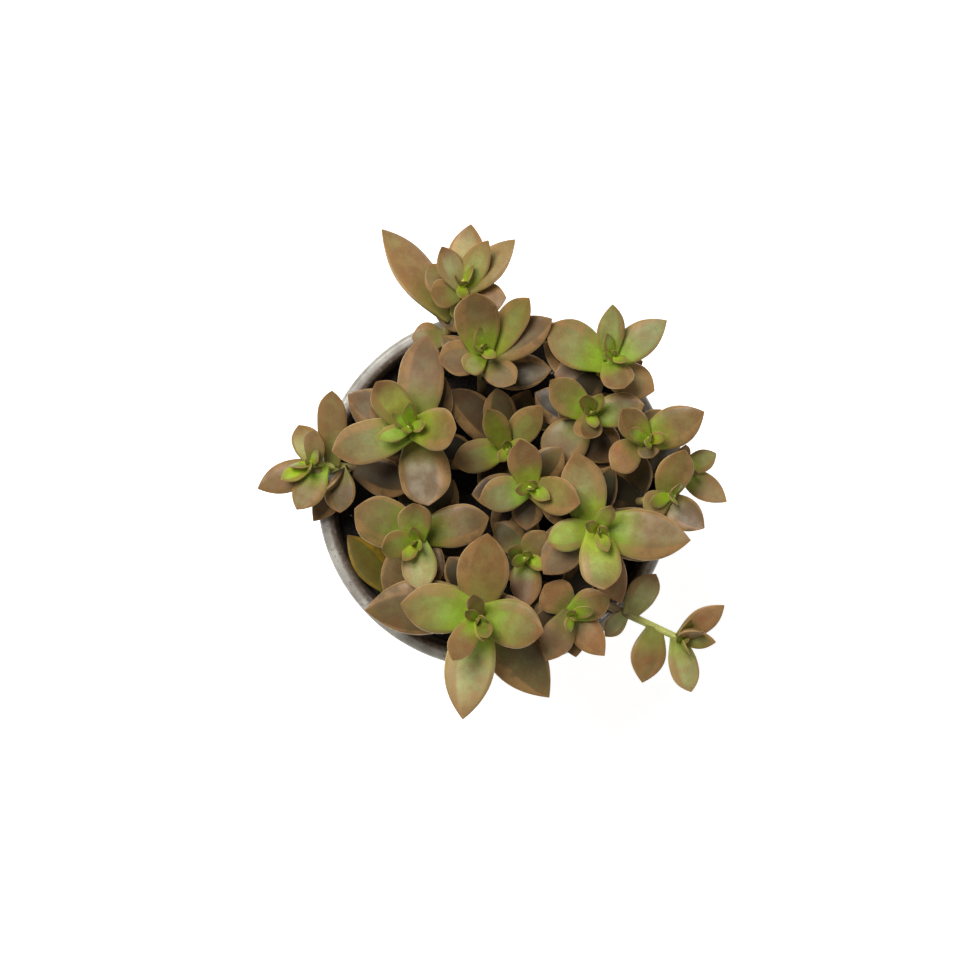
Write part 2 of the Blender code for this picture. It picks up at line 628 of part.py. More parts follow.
def turned(name, profile, sides, material):
    """A body turned about +Z from (radius, height) points that begin and end on the axis."""
    edit = bmesh.new()
    chain = [edit.verts.new((r, 0, z)) for r, z in profile]
    edges = [edit.edges.new(pair) for pair in zip(chain, chain[1:])]
    bmesh.ops.spin(edit, geom=chain + edges, axis=(0, 0, 1), cent=(0, 0, 0), angle=2 * math.pi, steps=sides,
                   use_merge=True)
    bmesh.ops.remove_doubles(edit, verts=edit.verts, dist=MERGE)
    bmesh.ops.recalc_face_normals(edit, faces=edit.faces)
    mesh = bpy.data.meshes.new(name)
    edit.to_mesh(mesh)
    edit.free()
    mesh.materials.append(material)
    obj = bpy.data.objects.new(name, mesh)
    bpy.context.scene.collection.objects.link(obj)
    return obj


def inner_wall_radius(z):
    """The inside of the pot's tapered wall at this height."""
    neck_height = POT_HEIGHT - LIP_DROP
    return FOOT_RADIUS + (NECK_RADIUS - FOOT_RADIUS) * z / neck_height - WALL


def arc(centre_r, centre_z, radius, start, end, steps):
    return [(centre_r + radius * math.cos(math.radians(a)), centre_z + radius * math.sin(math.radians(a)))
            for a in np.linspace(start, end, steps)]


def make_pot(material):
    """One moulded shell: a tapered wall, a lip turned out and down, and a floor with drain holes."""
    lip_bottom = POT_HEIGHT - LIP_DROP
    lip_inner = RIM_RADIUS - WALL
    profile = [
        (0, 0),
        (CHANNEL_INNER, 0),
        (CHANNEL_INNER + FOOT_CHAMFER, CHANNEL_DEPTH),
        (FOOT_RING_INNER - FOOT_CHAMFER, CHANNEL_DEPTH),
        (FOOT_RING_INNER, 0),
        (FOOT_RADIUS - FOOT_CHAMFER, 0),
        (FOOT_RADIUS, FOOT_CHAMFER),
        (NECK_RADIUS, lip_bottom),
        (NECK_RADIUS + NECK_FLARE, POT_HEIGHT - LIP_ROOF),
        (lip_inner, POT_HEIGHT - LIP_ROOF),
        (lip_inner, lip_bottom),
        (RIM_RADIUS, lip_bottom),
    ]
    profile += arc(RIM_RADIUS - LIP_ROUND, POT_HEIGHT - LIP_ROUND, LIP_ROUND, 0, 90, 4)
    profile += arc(RIM_RADIUS - LIP_TOP_WIDTH, POT_HEIGHT - LIP_ROUND, LIP_ROUND, 90, 165, 3)
    profile += [
        (inner_wall_radius(lip_bottom), lip_bottom),
        (inner_wall_radius(FLOOR_TOP), FLOOR_TOP),
        (0, FLOOR_TOP),
    ]
    pot = turned("pot", profile, POT_SIDES, material)
    middle = 0.5 * (CHANNEL_INNER + FOOT_RING_INNER)
    drills = []
    for n in range(DRAIN_HOLES):
        angle = 2 * math.pi * (n + 0.5) / DRAIN_HOLES
        place = (middle * math.cos(angle), middle * math.sin(angle))
        drills.append(cylinder("drill", place, DRAIN_RADIUS, -DRILL_SPARE, FLOOR_TOP + DRILL_SPARE,
                               DRAIN_SIDES, material))
    apply_boolean(pot, drills, "DIFFERENCE")
    pot.data.shade_smooth()
    pot.data.set_sharp_from_angle(angle=math.radians(CREASE_ANGLE))
    return pot


def cylinder(name, centre, radius, bottom, top, sides, material):
    rings = [[(centre[0] + radius * math.cos(a), centre[1] + radius * math.sin(a), z)
              for a in np.linspace(0, 2 * math.pi, sides, endpoint=False)] for z in (bottom, top)]
    return make_object(name, *skin(rings), material)


def make_soil(lines, material):
    """The fill, with an uneven top and a plain hole where each stem stands."""
    bottom = FLOOR_TOP + SEAT_GAP
    edge = inner_wall_radius(SOIL_LEVEL) - SOIL_WALL_GAP

    def ring(radius, height=None):
        points = []
        for a in np.linspace(0, 2 * math.pi, SOIL_SIDES, endpoint=False):
            x, y = radius * math.cos(a), radius * math.sin(a)
            points.append((x, y, soil_height(x, y) if height is None else height))
        return points

    rings = [ring(inner_wall_radius(bottom) - SOIL_WALL_GAP, bottom)]
    rings += [ring(edge * share) for share in np.linspace(1, 0, SOIL_RINGS)[:-1]]
    soil = make_object("soil", *skin(rings, (0, 0, soil_height(0, 0)), (0, 0, bottom)), material)
    hole_radius = (STEM_ROOT_RADIUS + SEAT_GAP) / math.cos(math.pi / HOLE_SIDES)
    holes = [
        cylinder("hole", line[0][:2], hole_radius, SOIL_LEVEL - STEM_DEPTH, SOIL_LEVEL + HOLE_CUT_OVER_SOIL,
                 HOLE_SIDES, material)
        for line in lines.values()
    ]
    apply_boolean(soil, holes, "DIFFERENCE")
    return soil


def make_material(name, colour, roughness):
    material = bpy.data.materials.new(name)
    material.use_nodes = True
    shader = material.node_tree.nodes["Principled BSDF"]
    shader.inputs["Base Color"].default_value = (*colour, 1)
    shader.inputs["Roughness"].default_value = roughness
    shader.inputs["Metallic"].default_value = 0
    material.diffuse_color = (*colour, 1)
    return material


def main():
    for obj in list(bpy.data.objects):
        bpy.data.objects.remove(obj)
    foliage = make_material("bronze_leaf", (0.20, 0.15, 0.07), 0.45)
    yellowed = make_material("yellow_leaf", (0.30, 0.22, 0.04), 0.5)
    plastic = make_material("grey_plastic", (0.42, 0.42, 0.39), 0.35)
    earth = make_material("potting_soil", (0.025, 0.018, 0.012), 0.95)
    lines, leaves = lay_out_plant()
    leaves = settle(leaves, lines)
    make_pot(plastic)
    make_soil(lines, earth)
    for name, line in lines.items():
        stem = make_object("stem_" + name, *stem_mesh(line), foliage)
        own = [leaf for leaf in leaves if leaf["stem"] == name]
        blades = [make_object(f"leaf_{n}", *leaf_mesh(leaf), foliage) for n, leaf in enumerate(own)]
        apply_boolean(stem, blades, "UNION", "MANIFOLD")
    fallen = [leaf for leaf in leaves if leaf["kind"] == "old"]
    make_object("old_leaf", *leaf_mesh(fallen[0]), yellowed)


main()
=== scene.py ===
"""The looks of a potted sedum: bronze and green rosettes on leafy stems, dark soil and a grey nursery pot.

Metres, +Z up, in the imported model's frame. +Y is called north in the names of the rosettes. Every leaf
stands where the part's source puts it, because both follow the same table and the same settling.
"""

import json
import math

import bmesh
import bpy
import numpy as np
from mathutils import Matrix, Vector
from mathutils.bvhtree import BVHTree

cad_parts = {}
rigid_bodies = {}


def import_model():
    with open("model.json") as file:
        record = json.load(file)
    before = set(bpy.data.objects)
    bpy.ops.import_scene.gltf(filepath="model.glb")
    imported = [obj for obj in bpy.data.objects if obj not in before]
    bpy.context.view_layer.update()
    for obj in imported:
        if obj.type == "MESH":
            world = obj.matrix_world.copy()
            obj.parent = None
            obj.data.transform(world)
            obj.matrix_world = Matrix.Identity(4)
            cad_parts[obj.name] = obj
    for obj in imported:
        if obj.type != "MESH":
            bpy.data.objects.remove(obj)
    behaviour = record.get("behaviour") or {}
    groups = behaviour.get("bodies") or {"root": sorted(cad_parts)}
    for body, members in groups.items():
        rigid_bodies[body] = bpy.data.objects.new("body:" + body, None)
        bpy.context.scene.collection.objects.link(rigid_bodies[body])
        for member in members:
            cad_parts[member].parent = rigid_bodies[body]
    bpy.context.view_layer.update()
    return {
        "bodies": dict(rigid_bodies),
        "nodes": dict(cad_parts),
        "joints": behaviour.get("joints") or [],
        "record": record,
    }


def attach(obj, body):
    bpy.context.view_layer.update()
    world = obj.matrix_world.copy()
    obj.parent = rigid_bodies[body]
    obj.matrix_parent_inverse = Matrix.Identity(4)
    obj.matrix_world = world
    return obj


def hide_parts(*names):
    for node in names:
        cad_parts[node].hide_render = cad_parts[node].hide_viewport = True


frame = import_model()

MM = 0.001
UP = np.array([0, 0, 1.0])
SEED = 7
TINY = 1e-9
LEAST_TURN = 1e-12
MERGE = 1e-6

# The pot
RIM_RADIUS = 51 * MM
POT_HEIGHT = 85 * MM
FOOT_RADIUS = 36 * MM
NECK_RADIUS = 47.2 * MM
LIP_DROP = 8.5 * MM
LIP_TOP_WIDTH = 2.8 * MM
LIP_ROUND = 1.5 * MM
LIP_ROOF = 3.0 * MM
LIP_OUTER_STEPS = 12
LIP_INNER_STEPS = 10
LIP_INNER_END = 165
NECK_FLARE = 0.3 * MM
WALL = 1.2 * MM
FLOOR_TOP = 3.6 * MM
FOOT_RING_INNER = 29 * MM
FOOT_CHAMFER = 1 * MM
CHANNEL_INNER = 14 * MM
CHANNEL_DEPTH = 1.8 * MM
DRAIN_HOLES = 6
DRAIN_RADIUS = 3.6 * MM
DRAIN_SIDES = 40
DRILL_SPARE = 2 * MM
POT_SIDES = 180
CREASE_ANGLE = 38

# The soil and what lies on it
SOIL_LEVEL = 77 * MM
SOIL_LUMP = 0.55 * MM
SOIL_EDGE_DROP = 1.0 * MM
SEAT_GAP = 0.3 * MM
SOIL_WALL_GAP = 0.45 * MM
SOIL_RINGS = 90
SOIL_SIDES = 240
SOIL_GRIT = 0.5 * MM
# The waves that the soil's top is made of, each as its turns along x and along y, and its shift
SOIL_WAVES = ((310, 0, 1.1), (0, 270, 0.4), (-340, 520, 0))
GRIT_WAVES = ((1500, 900, 0.7), (-600, 1700, 1.9), (3900, -2300, 0), (1900, 3300, 0.5))
CRUMBS = 900
CRUMB_SIZES = (0.5 * MM, 1.7 * MM)
PERLITE_GRAINS = 60
PERLITE_SIZES = (0.6 * MM, 1.5 * MM)
CRUMB_SINK = 0.5
PERLITE_SINK = 0.3
# A lump's shape and place, as shares of its size
LUMP_FACETS = 5
LUMP_SQUASH = (0.55, 1.0)
LUMP_FACET_AT = (0.6, 0.85)
LUMP_RISE = 0.6
LUMP_WALL_ROOM = 1.4

# The stems
STEM_ROOT_RADIUS = 1.7 * MM
STEM_TIP_RADIUS = 1.15 * MM
STEM_TIP_LENGTH = 1.4 * MM
STEM_SEAM = np.array([0.31, 0.95, 0.02])
STEM_DEPTH = 9 * MM
STEM_RISE = 1.5
STEM_SIDES = 6
STEM_STATIONS = 7
FINE_STEM_SIDES = 18
FINE_STEM_RINGS = 60
FINE_STEM_SHARE = 0.82
LEAN_OF_ROSETTE = 1.1

# The leaves' shape, as shares of a leaf's width or length, and the powers of its curves
LEAF_TOP_SHARE = 0.14
LEAF_KEEL_SHARE = 0.25
LEAF_BASE_SHARE = 0.48
LEAF_WIDEST = 0.5
LEAF_CUP = 0.10
FLESH_AT_BASE = 0.62
THICKEST_AT = 0.45
BASE_SWELL_POWER = 1.3
KEEL_POWER = 1.5
CUP_FADE_POWER = 1.5
CURL_POWER = 2.4
TIP_THINNING_POWER = 3.2
TIP_ROUND_POWER = 0.75
POINTED_TIP_POWER = 2.1
BLUNTER_TIP_POWER = 0.9

# A leaf's fine surface
FINE_RINGS = 24
FINE_SIDES = 24
TOP_MARGIN_POWER = 0.95
KEEL_MARGIN_POWER = 1.2
MOST_SWAY = 0.035
MOST_TWIST = 7
MOST_DENT = 0.018
DENT_WAVES = ((5.3, 2.1), (-4.2, 3.1))
RING_CROWDING = 1.25
MOST_MOTTLE_SHIFT = 90

# How the leaves stand
LEAF_CURL = 0.06
LIFTED_LEAF_CURL = 0.24
LOWER_LEAF_CURL = -0.04
UPWARD_FACE = 0.65
GOLDEN_ANGLE = 137.5

# The young upright leaves: distance of the base below the stem's end, lift, length and width
YOUNG_LEAVES = (
    (0.3 * MM, 78, 4.5 * MM, 2.4 * MM),
    (0.7 * MM, 66, 6.5 * MM, 3 * MM),
    (1.1 * MM, 54, 8 * MM, 3.6 * MM),
    (1.6 * MM, 42, 9 * MM, 4.2 * MM),
)
YOUNG_LEAF_TURN = 46

# The older leaves below a rosette
MOST_LOWER_LEAVES = 8
FIRST_LOWER_LEAF = 12 * MM
LOWER_LEAF_SPACING = 3.2 * MM
LOWEST_LEAF = 3.5 * MM
LOWER_LEAF_LENGTH = 14.5 * MM
LOWER_LEAF_EXTRA_LENGTH = 4 * MM
LOWER_LEAF_WIDTH = 9 * MM
LOWER_LEAF_EXTRA_WIDTH = 2 * MM
LOWER_LEAF_LIFT = 20
LOWER_LEAF_LIFT_LOSS = 5
LOWER_LEAF_BEARING = 20
LOWER_LEAF_TURN = 65
LOWER_LEAF_WAVE = (2.3, 1.7)

# Each rosette: where its stem is rooted (x, y), where the stem ends (x, y, height over the rim), and the
# leaves that show from above, as (bearing and reach of the leaf's tip from the stem's end, width, lift,
# distance of the leaf's base below the stem's end, roll, bluntness from 0 for a plain point up, tone), in
# millimetres and degrees.
ROSETTES = {
    "north": ((-17, 35), (-9, 57.5, 22), (
        (118, 11, 7.5, 25, 2, 0, 0, "pale"), (80, 15.5, 10.5, 14, 2.5, 0, 0, "pale"),
        (59, 14, 8, 18, 4, 0, 0, "sage_tipped"), (36, 18.5, 10.5, 12, 4.3, -20, 0, "tan"),
        (-160, 9.5, 8.5, 24, 4.5, 0, 1, "bronze"), (152, 11, 9, 6, 7, 0, 0.8, "bronze"),
        (-21, 13, 10, 14, 7, 0, 1, "bronze"), (150, 27.5, 14, 8, 12.5, 25, 0, "blush"),
        (245, 13, 8, 12, 12, 0, 1, "umber"), (-135, 20.5, 9, 5, 20, 0, 0.6, "bronze"),
    )),
    "north_inner": ((-4, 27), (-3.5, 39.5, 22), (
        (99, 14.5, 12.5, 32, 3, 0, 1.5, "green_bronze"), (231, 9, 7, 36, 4.2, 0, 0.5, "sage"),
        (-161, 12, 10.5, 24, 4, 0, 0.8, "mauve"), (-49, 13.5, 8.5, 24, 6.1, 0, 1, "mauve"),
        (44, 19, 9, 20, 6.5, 0, 1.5, "green"), (22, 20.5, 10.5, 14, 6, 0, 0.5, "umber"),
        (-17, 20.5, 10.5, -2, 13, 0, 0.5, "shade"), (160, 12, 8, 0, 12, 0, 0.5, "umber"),
    )),
    "northwest": ((-20, 14), (-23.5, 17.5, 26), (
        (-158, 9.5, 5, 24, 1.5, 0, 0, "fresh"), (127, 15, 10, 26, 3, 0, 1.5, "fresh_tipped"),
        (-4, 13, 12, 38, 4, 0, 1, "green_brown"), (79, 26, 13, 4, 8, 0, 0.8, "green_umber"),
        (-162, 22.5, 12, 10, 5, 0, 1.3, "sage_brown"), (-76, 22.5, 14.5, 14, 13, 0, 1.6, "umber"),
        (152, 20, 12.5, 0, 12, 0, 0.6, "umber"), (101, 7, 4.2, 42, 1.4, 0, 0, "bright"),
    )),
    "west": ((-34, 6), (-52.5, 7.5, 12), (
        (212, 8, 5, 26, 1, 0, 0, "bright"), (72, 9, 6.5, 36, 2, 0, 0.6, "tan"),
        (104, 10.5, 8.5, 20, 3, 0, 1, "pale"), (211, 16, 9, 4, 4, 0, 0.2, "bronze"),
        (-98, 14, 9.5, 12, 5, 0, 0.4, "green_bronze"), (70, 21.5, 8.5, 24, 8, 10, 1.6, "tan"),
        (-59, 16, 9.5, 8, 10, 0, 1, "umber"), (-87, 16.5, 9, -14, 12, 0, 0, "umber"),
    )),
    "southwest": ((-20, -10), (-22, -14.5, 20), (
        (-171, 9, 8, 40, 2, 0, 1, "green"), (94, 11, 9.5, 34, 3, 0, 0.7, "green_tipped"),
        (-83, 13.5, 10, 14, 4, 0, 0.6, "pale_green"), (151, 19.5, 14, 10, 5.5, 0, 1.4, "green_brown"),
        (20, 21.5, 12, 6, 8, 0, 1.2, "green_umber"), (-119, 18, 11, -6, 10, 0, 0.6, "umber"),
    )),
    "south": ((-6, -27), (-4.5, -35.5, 28), (
        (101, 7.5, 5, 45, 1.5, 0, 0, "olive"), (-59, 6.5, 4.5, 45, 1.5, 0, 0, "deep_green"),
        (-125, 12.5, 7.5, 38, 3, 0, 0.8, "green_blush"), (-9, 18, 13.5, 18, 4, 0, 0.5, "green_tipped"),
        (168, 22, 14, 10, 5, 0, 0.4, "green_tipped"), (84, 24, 14.5, 18, 6.5, 0, 0.2, "bronze"),
        (-99, 28, 14, 4, 7.5, 0, 0.1, "bright_pale"), (176, 32, 16, -4, 12, 0, 0.1, "umber"),
        (-49, 30, 16, -8, 13, 0, 0.1, "umber"),
    )),
    "centre": ((9, 1), (9.6, 0.8, 26), (
        (102, 13.5, 9.5, 28, 3, 0, 0.2, "green_bronze"), (-166, 14.5, 10, 18, 4, 0, 0.4, "sage_brown"),
        (-19, 15.5, 10.5, 24, 4, 0, 0.2, "olive"), (-95, 12, 9, 0, 9, 0, 0.5, "shade"),
    )),
    "north_centre": ((3, 13), (3.5, 11.5, 12), (
        (119, 12.5, 7.5, 32, 2, 0, 0.2, "deep_green"), (50, 15.5, 9, 20, 3.5, 0, 0, "olive"),
        (-166, 16, 9.5, 12, 5, 0, 0.8, "sage_brown"), (132, 23, 11, 12, 8, 0, 0.6, "shade"),
        (102, 18, 9.5, 12, 8, 0, 0.8, "shade"), (64, 19, 10, -5, 10, 0, 0.4, "shade"),
    )),
    "northeast_inner": ((23, 17), (26.5, 21.5, 22), (
        (87, 6, 5, 40, 1.5, 0, 0.3, "deep_green"), (261, 7.5, 8, 40, 2.5, 0, 1, "umber"),
        (145, 15, 10, 20, 4, 0, 0.4, "green_brown"), (2, 14, 9.5, 20, 5, 0, 0.8, "green_brown"),
        (223, 18.5, 13, 0, 8.5, 0, 1, "mauve"), (158, 16.5, 11, -4, 11, 0, 0.4, "deep_shade"),
        (-66, 15, 12, -6, 11, 0, 0.6, "shade"),
    )),
    "northeast": ((25, 27), (32.5, 37.5, 24), (
        (-75, 10, 9, 36, 4, 0, 1, "green_bronze"), (94, 13.5, 8, 22, 3.2, 0, 0, "sage"),
        (31, 17.5, 10, 12, 5, 0, 0, "grey_green"), (157, 20, 13, 6, 6.4, 0, 0.6, "sage_brown"),
        (-40, 15.5, 10.5, 0, 9, 0, 1, "tan"), (200, 17, 11, -10, 12, 0, 0.5, "umber"),
    )),
    "east": ((32, 11), (43, 14, 22), (
        (138, 10, 8.5, 36, 2.5, 0, 0.4, "green_bronze"), (28, 16.5, 11.5, 16, 4.5, 0, 0, "green_bronze"),
        (-85, 5, 6, 30, 4, 0, 1, "umber"), (-144, 13.5, 9.5, 18, 7, 0, 0.6, "blush"),
        (55, 10, 9, -5, 10, 0, 0.6, "bronze"),
    )),
    "east_low": ((36, -4), (49.5, -1.5, 18), (
        (-156, 8, 8, 36, 2.5, 0, 0.3, "blush"), (83, 13.5, 10.5, 20, 4, 0, 0.3, "bronze"),
        (-47, 12.5, 9.5, 16, 5, 0, 0, "umber"), (-95, 11, 8, 0, 8, 0, 0.5, "umber"),
    )),
    "far_east": ((39, 4), (55, 6, 8), (
        (32, 8.5, 6.5, 16, 2, 0, 0.3, "sage"), (-43, 14, 8, 4, 3.5, 0, 0, "green_tan"),
        (110, 6, 5, 40, 3, 0, 0.4, "tan"),
    )),
    "southeast": ((22, -8), (28.5, -11, 30), (
        (68, 7.5, 5, 40, 2, 0, 0, "fresh_tipped"), (191, 14.5, 9, 5, 6, 0, 1, "fresh"),
        (-86, 16, 11.5, 20, 4, 0, 1.6, "bright_tipped"), (108, 22.5, 13, 10, 8, 0, 0.2, "sage_brown"),
        (-6, 25, 14, 10, 6, 0, 0.1, "green_bronze"), (-8, 25, 15, -14, 12, 0, 0, "shade"),
        (-72, 21.5, 10.5, -4, 13, 0, 0.6, "blush"), (219, 19.5, 11, 0, 12, 0, 0.6, "mauve"),
    )),
    "south_centre": ((9, -17), (8.5, -19, 14), (
        (56, 9.5, 8, 30, 2.5, 0, 0.3, "blush"), (156, 5.5, 5, 40, 3, 0, 0.4, "deep_green"),
        (-90, 14, 9, 10, 4, 0, 0.2, "green_blush"), (131, 13, 8.5, 0, 8, 0, 0.8, "umber"),
        (95, 13.5, 9.5, -6, 10, 0, 0.6, "shade"),
    )),
    "south_southeast": ((19, -28), (21.5, -35.5, 18), (
        (32, 12, 9.5, 20, 3, 0, 0, "green_bronze"), (238, 14, 9.5, 12, 4, 0, 0, "blush"),
        (-49, 14, 9, 6, 5, 0, 0, "russet"), (130, 12, 10.5, 10, 6, 0, 0.8, "russet"),
        (-165, 11, 10, 0, 9, 0, 0.3, "shade"),
    )),
    "trailing": ((24, -29), (53.5, -42.5, 8), (
        (86, 5.5, 7, 45, 1.4, 0, 0.3, "blush"), (-4, 8.5, 5, 12, 1.5, 0, 0, "olive"),
        (45, 15, 7.5, 12, 2, 0, 0, "blush"), (-84, 14.5, 8.5, 6, 3, 0, 1, "pale_green"),
        (-135, 17, 10.5, 0, 10, 0, 0, "moss_bronze"), (114, 21, 9, 14, 18, 0, 0.8, "pale"),
        (177, 22.5, 6, 6, 19, 0, 0.2, "pale"),
    )),
}
# The most leaves that grow below the listed ones, where it isn't MOST_LOWER_LEAVES
FEW_LOWER_LEAVES = {"trailing": 0, "far_east": 2, "west": 2, "north": 0, "north_inner": 1}

# The yellowed leaf that has dropped beside the wall
OLD_LEAF_BASE = np.array([-28.8, -29.8, 78.36]) * MM
OLD_LEAF_BEARING = 130
OLD_LEAF_LIFT = 5
OLD_LEAF_ROLL = 25
OLD_LEAF_LENGTH = 22 * MM
OLD_LEAF_WIDTH = 10.5 * MM

# How the leaves make room for each other
SETTLE_STEPS = 110
SETTLE_GAP = 0.4 * MM
SETTLE_GAIN = 2.2
GIVE_POWER = 0.3
HOLD = 0.03
SHORTEST_ARM = 3 * MM
ROOT_SHARE = 0.38
THINNEST_FLESH = 0.5 * MM
SHOWN_LEAF_GIVE = 0.35
LOWER_LEAF_GIVE = 1.0
FEELERS_ALONG = (0.16, 0.36, 0.55, 0.74, 0.92)
FEELERS_ACROSS = (-0.9, -0.45, 0.0, 0.45, 0.9)
LIP_TUBE_DROPS = (1.8 * MM, 5 * MM)
LIP_TUBE_RADIUS = 2.4 * MM
WALL_CLEARANCE = 1.8 * MM

# The leaves' colours, in red, green and blue from 0 to 255
LIME = (152, 172, 40)
SPROUT = (138, 152, 46)
FRESH = (152, 160, 70)
GREEN = (134, 150, 42)
DEEP = (112, 118, 38)
MOSS = (134, 132, 64)
SAGE = (156, 148, 88)
PALE = (172, 164, 108)
OLIVE = (122, 112, 54)
GREY_GREEN = (140, 130, 82)
BRONZE = (126, 100, 58)
TAN = (148, 120, 76)
MAUVE = (124, 102, 70)
BLUSH = (138, 106, 68)
RUSSET = (134, 96, 54)
UMBER = (102, 82, 50)
# Painted shade: the dark colours of leaves that lie deep among the others and low on the stems
SHADE = (72, 58, 34)
DEEP_SHADE = (48, 38, 24)
# The dropped leaf's yellow, darkened with painted shade
SHADED_GOLD = (98, 84, 30)
EDGE_TINT_AND_PAINTED_LIGHT = (148, 113, 69)

# Each kind of leaf's colours for its tan edges and painted lit side, for its thin pale margin that is partly
# a painted highlight, and for its underside in painted shade, and how dull it is
LIVING_LEAF = (EDGE_TINT_AND_PAINTED_LIGHT, (200, 172, 124), (110, 86, 54), 0.42)
FALLEN_LEAF = ((150, 118, 24), (186, 158, 84), (84, 70, 36), 0.5)

# Each kind of grain's lighter and darker colour, how fine its patches are, and how rough it is
EARTH = ((40, 32, 26), (12, 10, 9), 900.0, 1.0)
CRUMB = ((58, 46, 36), (20, 15, 12), 1500.0, 1.0)
PERLITE = ((214, 208, 196), (120, 110, 98), 1400.0, 0.95)

# The colours of the stems and of the pot
BARK = (112, 92, 58)
STALK_GREEN = (184, 186, 96)
POT_GREY = (174, 170, 160)
SCUFF_GREY = (136, 129, 118)
# The pot's darker inside and inward lip turn, then the flecks on its lip
INNER_DARK = (92, 78, 66)
SOIL_FLECK = (92, 80, 68)

# A leaf's tone: its colour at the base, in the middle and at the tip. The shade and deep_shade tones are
# painted shade, for leaves that lie deep among the others
TONES = {
    "bright": (LIME, LIME, FRESH),
    "bright_tipped": (LIME, FRESH, OLIVE),
    "fresh": (GREEN, FRESH, FRESH),
    "fresh_tipped": (GREEN, FRESH, BRONZE),
    "green": (GREEN, MOSS, OLIVE),
    "deep_green": (DEEP, DEEP, OLIVE),
    "green_tipped": (GREEN, MOSS, BRONZE),
    "green_brown": (GREEN, OLIVE, BRONZE),
    "green_bronze": (GREEN, BRONZE, BRONZE),
    "green_blush": (GREEN, BLUSH, BLUSH),
    "green_tan": (GREEN, TAN, TAN),
    "green_umber": (DEEP, MAUVE, UMBER),
    "bright_pale": (LIME, PALE, TAN),
    "grey_green": (GREEN, GREY_GREEN, GREY_GREEN),
    "sage": (GREEN, SAGE, SAGE),
    "sage_tipped": (GREEN, SAGE, TAN),
    "pale_green": (FRESH, SAGE, SAGE),
    "sage_brown": (GREEN, GREY_GREEN, BRONZE),
    "pale": (SAGE, PALE, TAN),
    "moss_bronze": (MOSS, BRONZE, BRONZE),
    "olive": (OLIVE, OLIVE, BRONZE),
    "tan": (OLIVE, TAN, TAN),
    "russet": (OLIVE, RUSSET, RUSSET),
    "bronze": (OLIVE, BRONZE, BRONZE),
    "blush": (OLIVE, BLUSH, TAN),
    "mauve": (OLIVE, MAUVE, MAUVE),
    "umber": (OLIVE, UMBER, UMBER),
    "shade": (SHADE, SHADE, UMBER),
    "deep_shade": (DEEP_SHADE, DEEP_SHADE, SHADE),
    "young": (LIME, SPROUT, OLIVE),
    "fallen": (SHADED_GOLD, SHADED_GOLD, SHADED_GOLD),
}
# What a leaf's pale patches of painted sheen, and its reddish and grey-green patches, do to its red, green,
# blue and opacity
PAINTED_SHEEN_GAIN = (1.0, 1.14, 1.14, 1)
WARM_GAIN = (1.12, 0.8, 0.82, 1)
COOL_GAIN = (0.82, 1.0, 1.08, 1)
# The lower leaves take only tones of painted shade
LOWER_LEAF_TONES = ("shade", "deep_shade", "shade", "deep_shade", "shade")
TONE_SPREAD = 0.08
# Where along a leaf its base colour gives way to the middle one, and that to the tip's
MIDDLE_FROM_TO = (0.18, 0.6)
TIP_FROM_TO = (0.5, 0.95)


def unit(vector):
    return vector / math.sqrt(float((vector * vector).sum()))


def bearing_vector(bearing, lift=0.0):
    """A unit vector at a compass-like angle from +X, raised by lift, both in degrees."""
    turn, rise = math.radians(bearing), math.radians(lift)
    return np.array([math.cos(turn) * math.cos(rise), math.sin(turn) * math.cos(rise), math.sin(rise)])


def turned_about(vector, axis, degrees):
    angle = math.radians(degrees)
    return (
        vector * math.cos(angle)
        + np.cross(axis, vector) * math.sin(angle)
        + axis * float(axis @ vector) * (1 - math.cos(angle))
    )


# Leaf shape. A leaf runs along its own x from 0 to its length, y is across it and z out of its upper face.


def half_width(t, width, blunt):
    """Half the leaf's width at t, a share of its length: a narrow base, a broad middle, arcs to a point."""
    rise = np.sin(0.5 * math.pi * np.minimum(t / LEAF_WIDEST, 1))
    near = LEAF_BASE_SHARE + (1 - LEAF_BASE_SHARE) * rise**BASE_SWELL_POWER
    fall = np.maximum(t - LEAF_WIDEST, 0) / (1 - LEAF_WIDEST)
    far = 1 - fall ** (POINTED_TIP_POWER + BLUNTER_TIP_POWER * blunt)
    return 0.5 * width * np.where(t < LEAF_WIDEST, near, far)


def flesh(t):
    """How thick the leaf is at t, as a share of its thickest."""
    swell = np.sin(0.5 * math.pi * np.minimum(2.0, t / THICKEST_AT))
    return (FLESH_AT_BASE + (1 - FLESH_AT_BASE) * swell) * (1 - t**TIP_THINNING_POWER) ** TIP_ROUND_POWER


def spine(leaf, t, across, bulge):
    """Places on a leaf, from how far its surface bulges there, as a share of its width."""
    cup = LEAF_CUP * across * across * (1 - t) ** CUP_FADE_POWER
    z = leaf["width"] * (bulge * flesh(t) + cup) + leaf["curl"] * leaf["length"] * t**CURL_POWER
    return np.stack([leaf["length"] * t, half_width(t, leaf["width"], leaf["blunt"]) * across, z], -1)


def leaf_points(leaf, t, across, below):
    """Points of the plain leaf's surface: across is -1 to 1, and below picks the keeled underside."""
    keel = -LEAF_KEEL_SHARE * (1 - np.abs(across) ** KEEL_POWER)
    crown = LEAF_TOP_SHARE * (1 - across * across)
    return spine(leaf, t, across, np.where(below, keel, crown))


def leaf_places(leaf, t, across, below):
    t, across, below = np.broadcast_arrays(t, across, below)
    return leaf["base"] + leaf_points(leaf, t * 1.0, across * 1.0, below) @ leaf["frame"].T


# Layout: stems and leaves as plain records, before any mesh is made


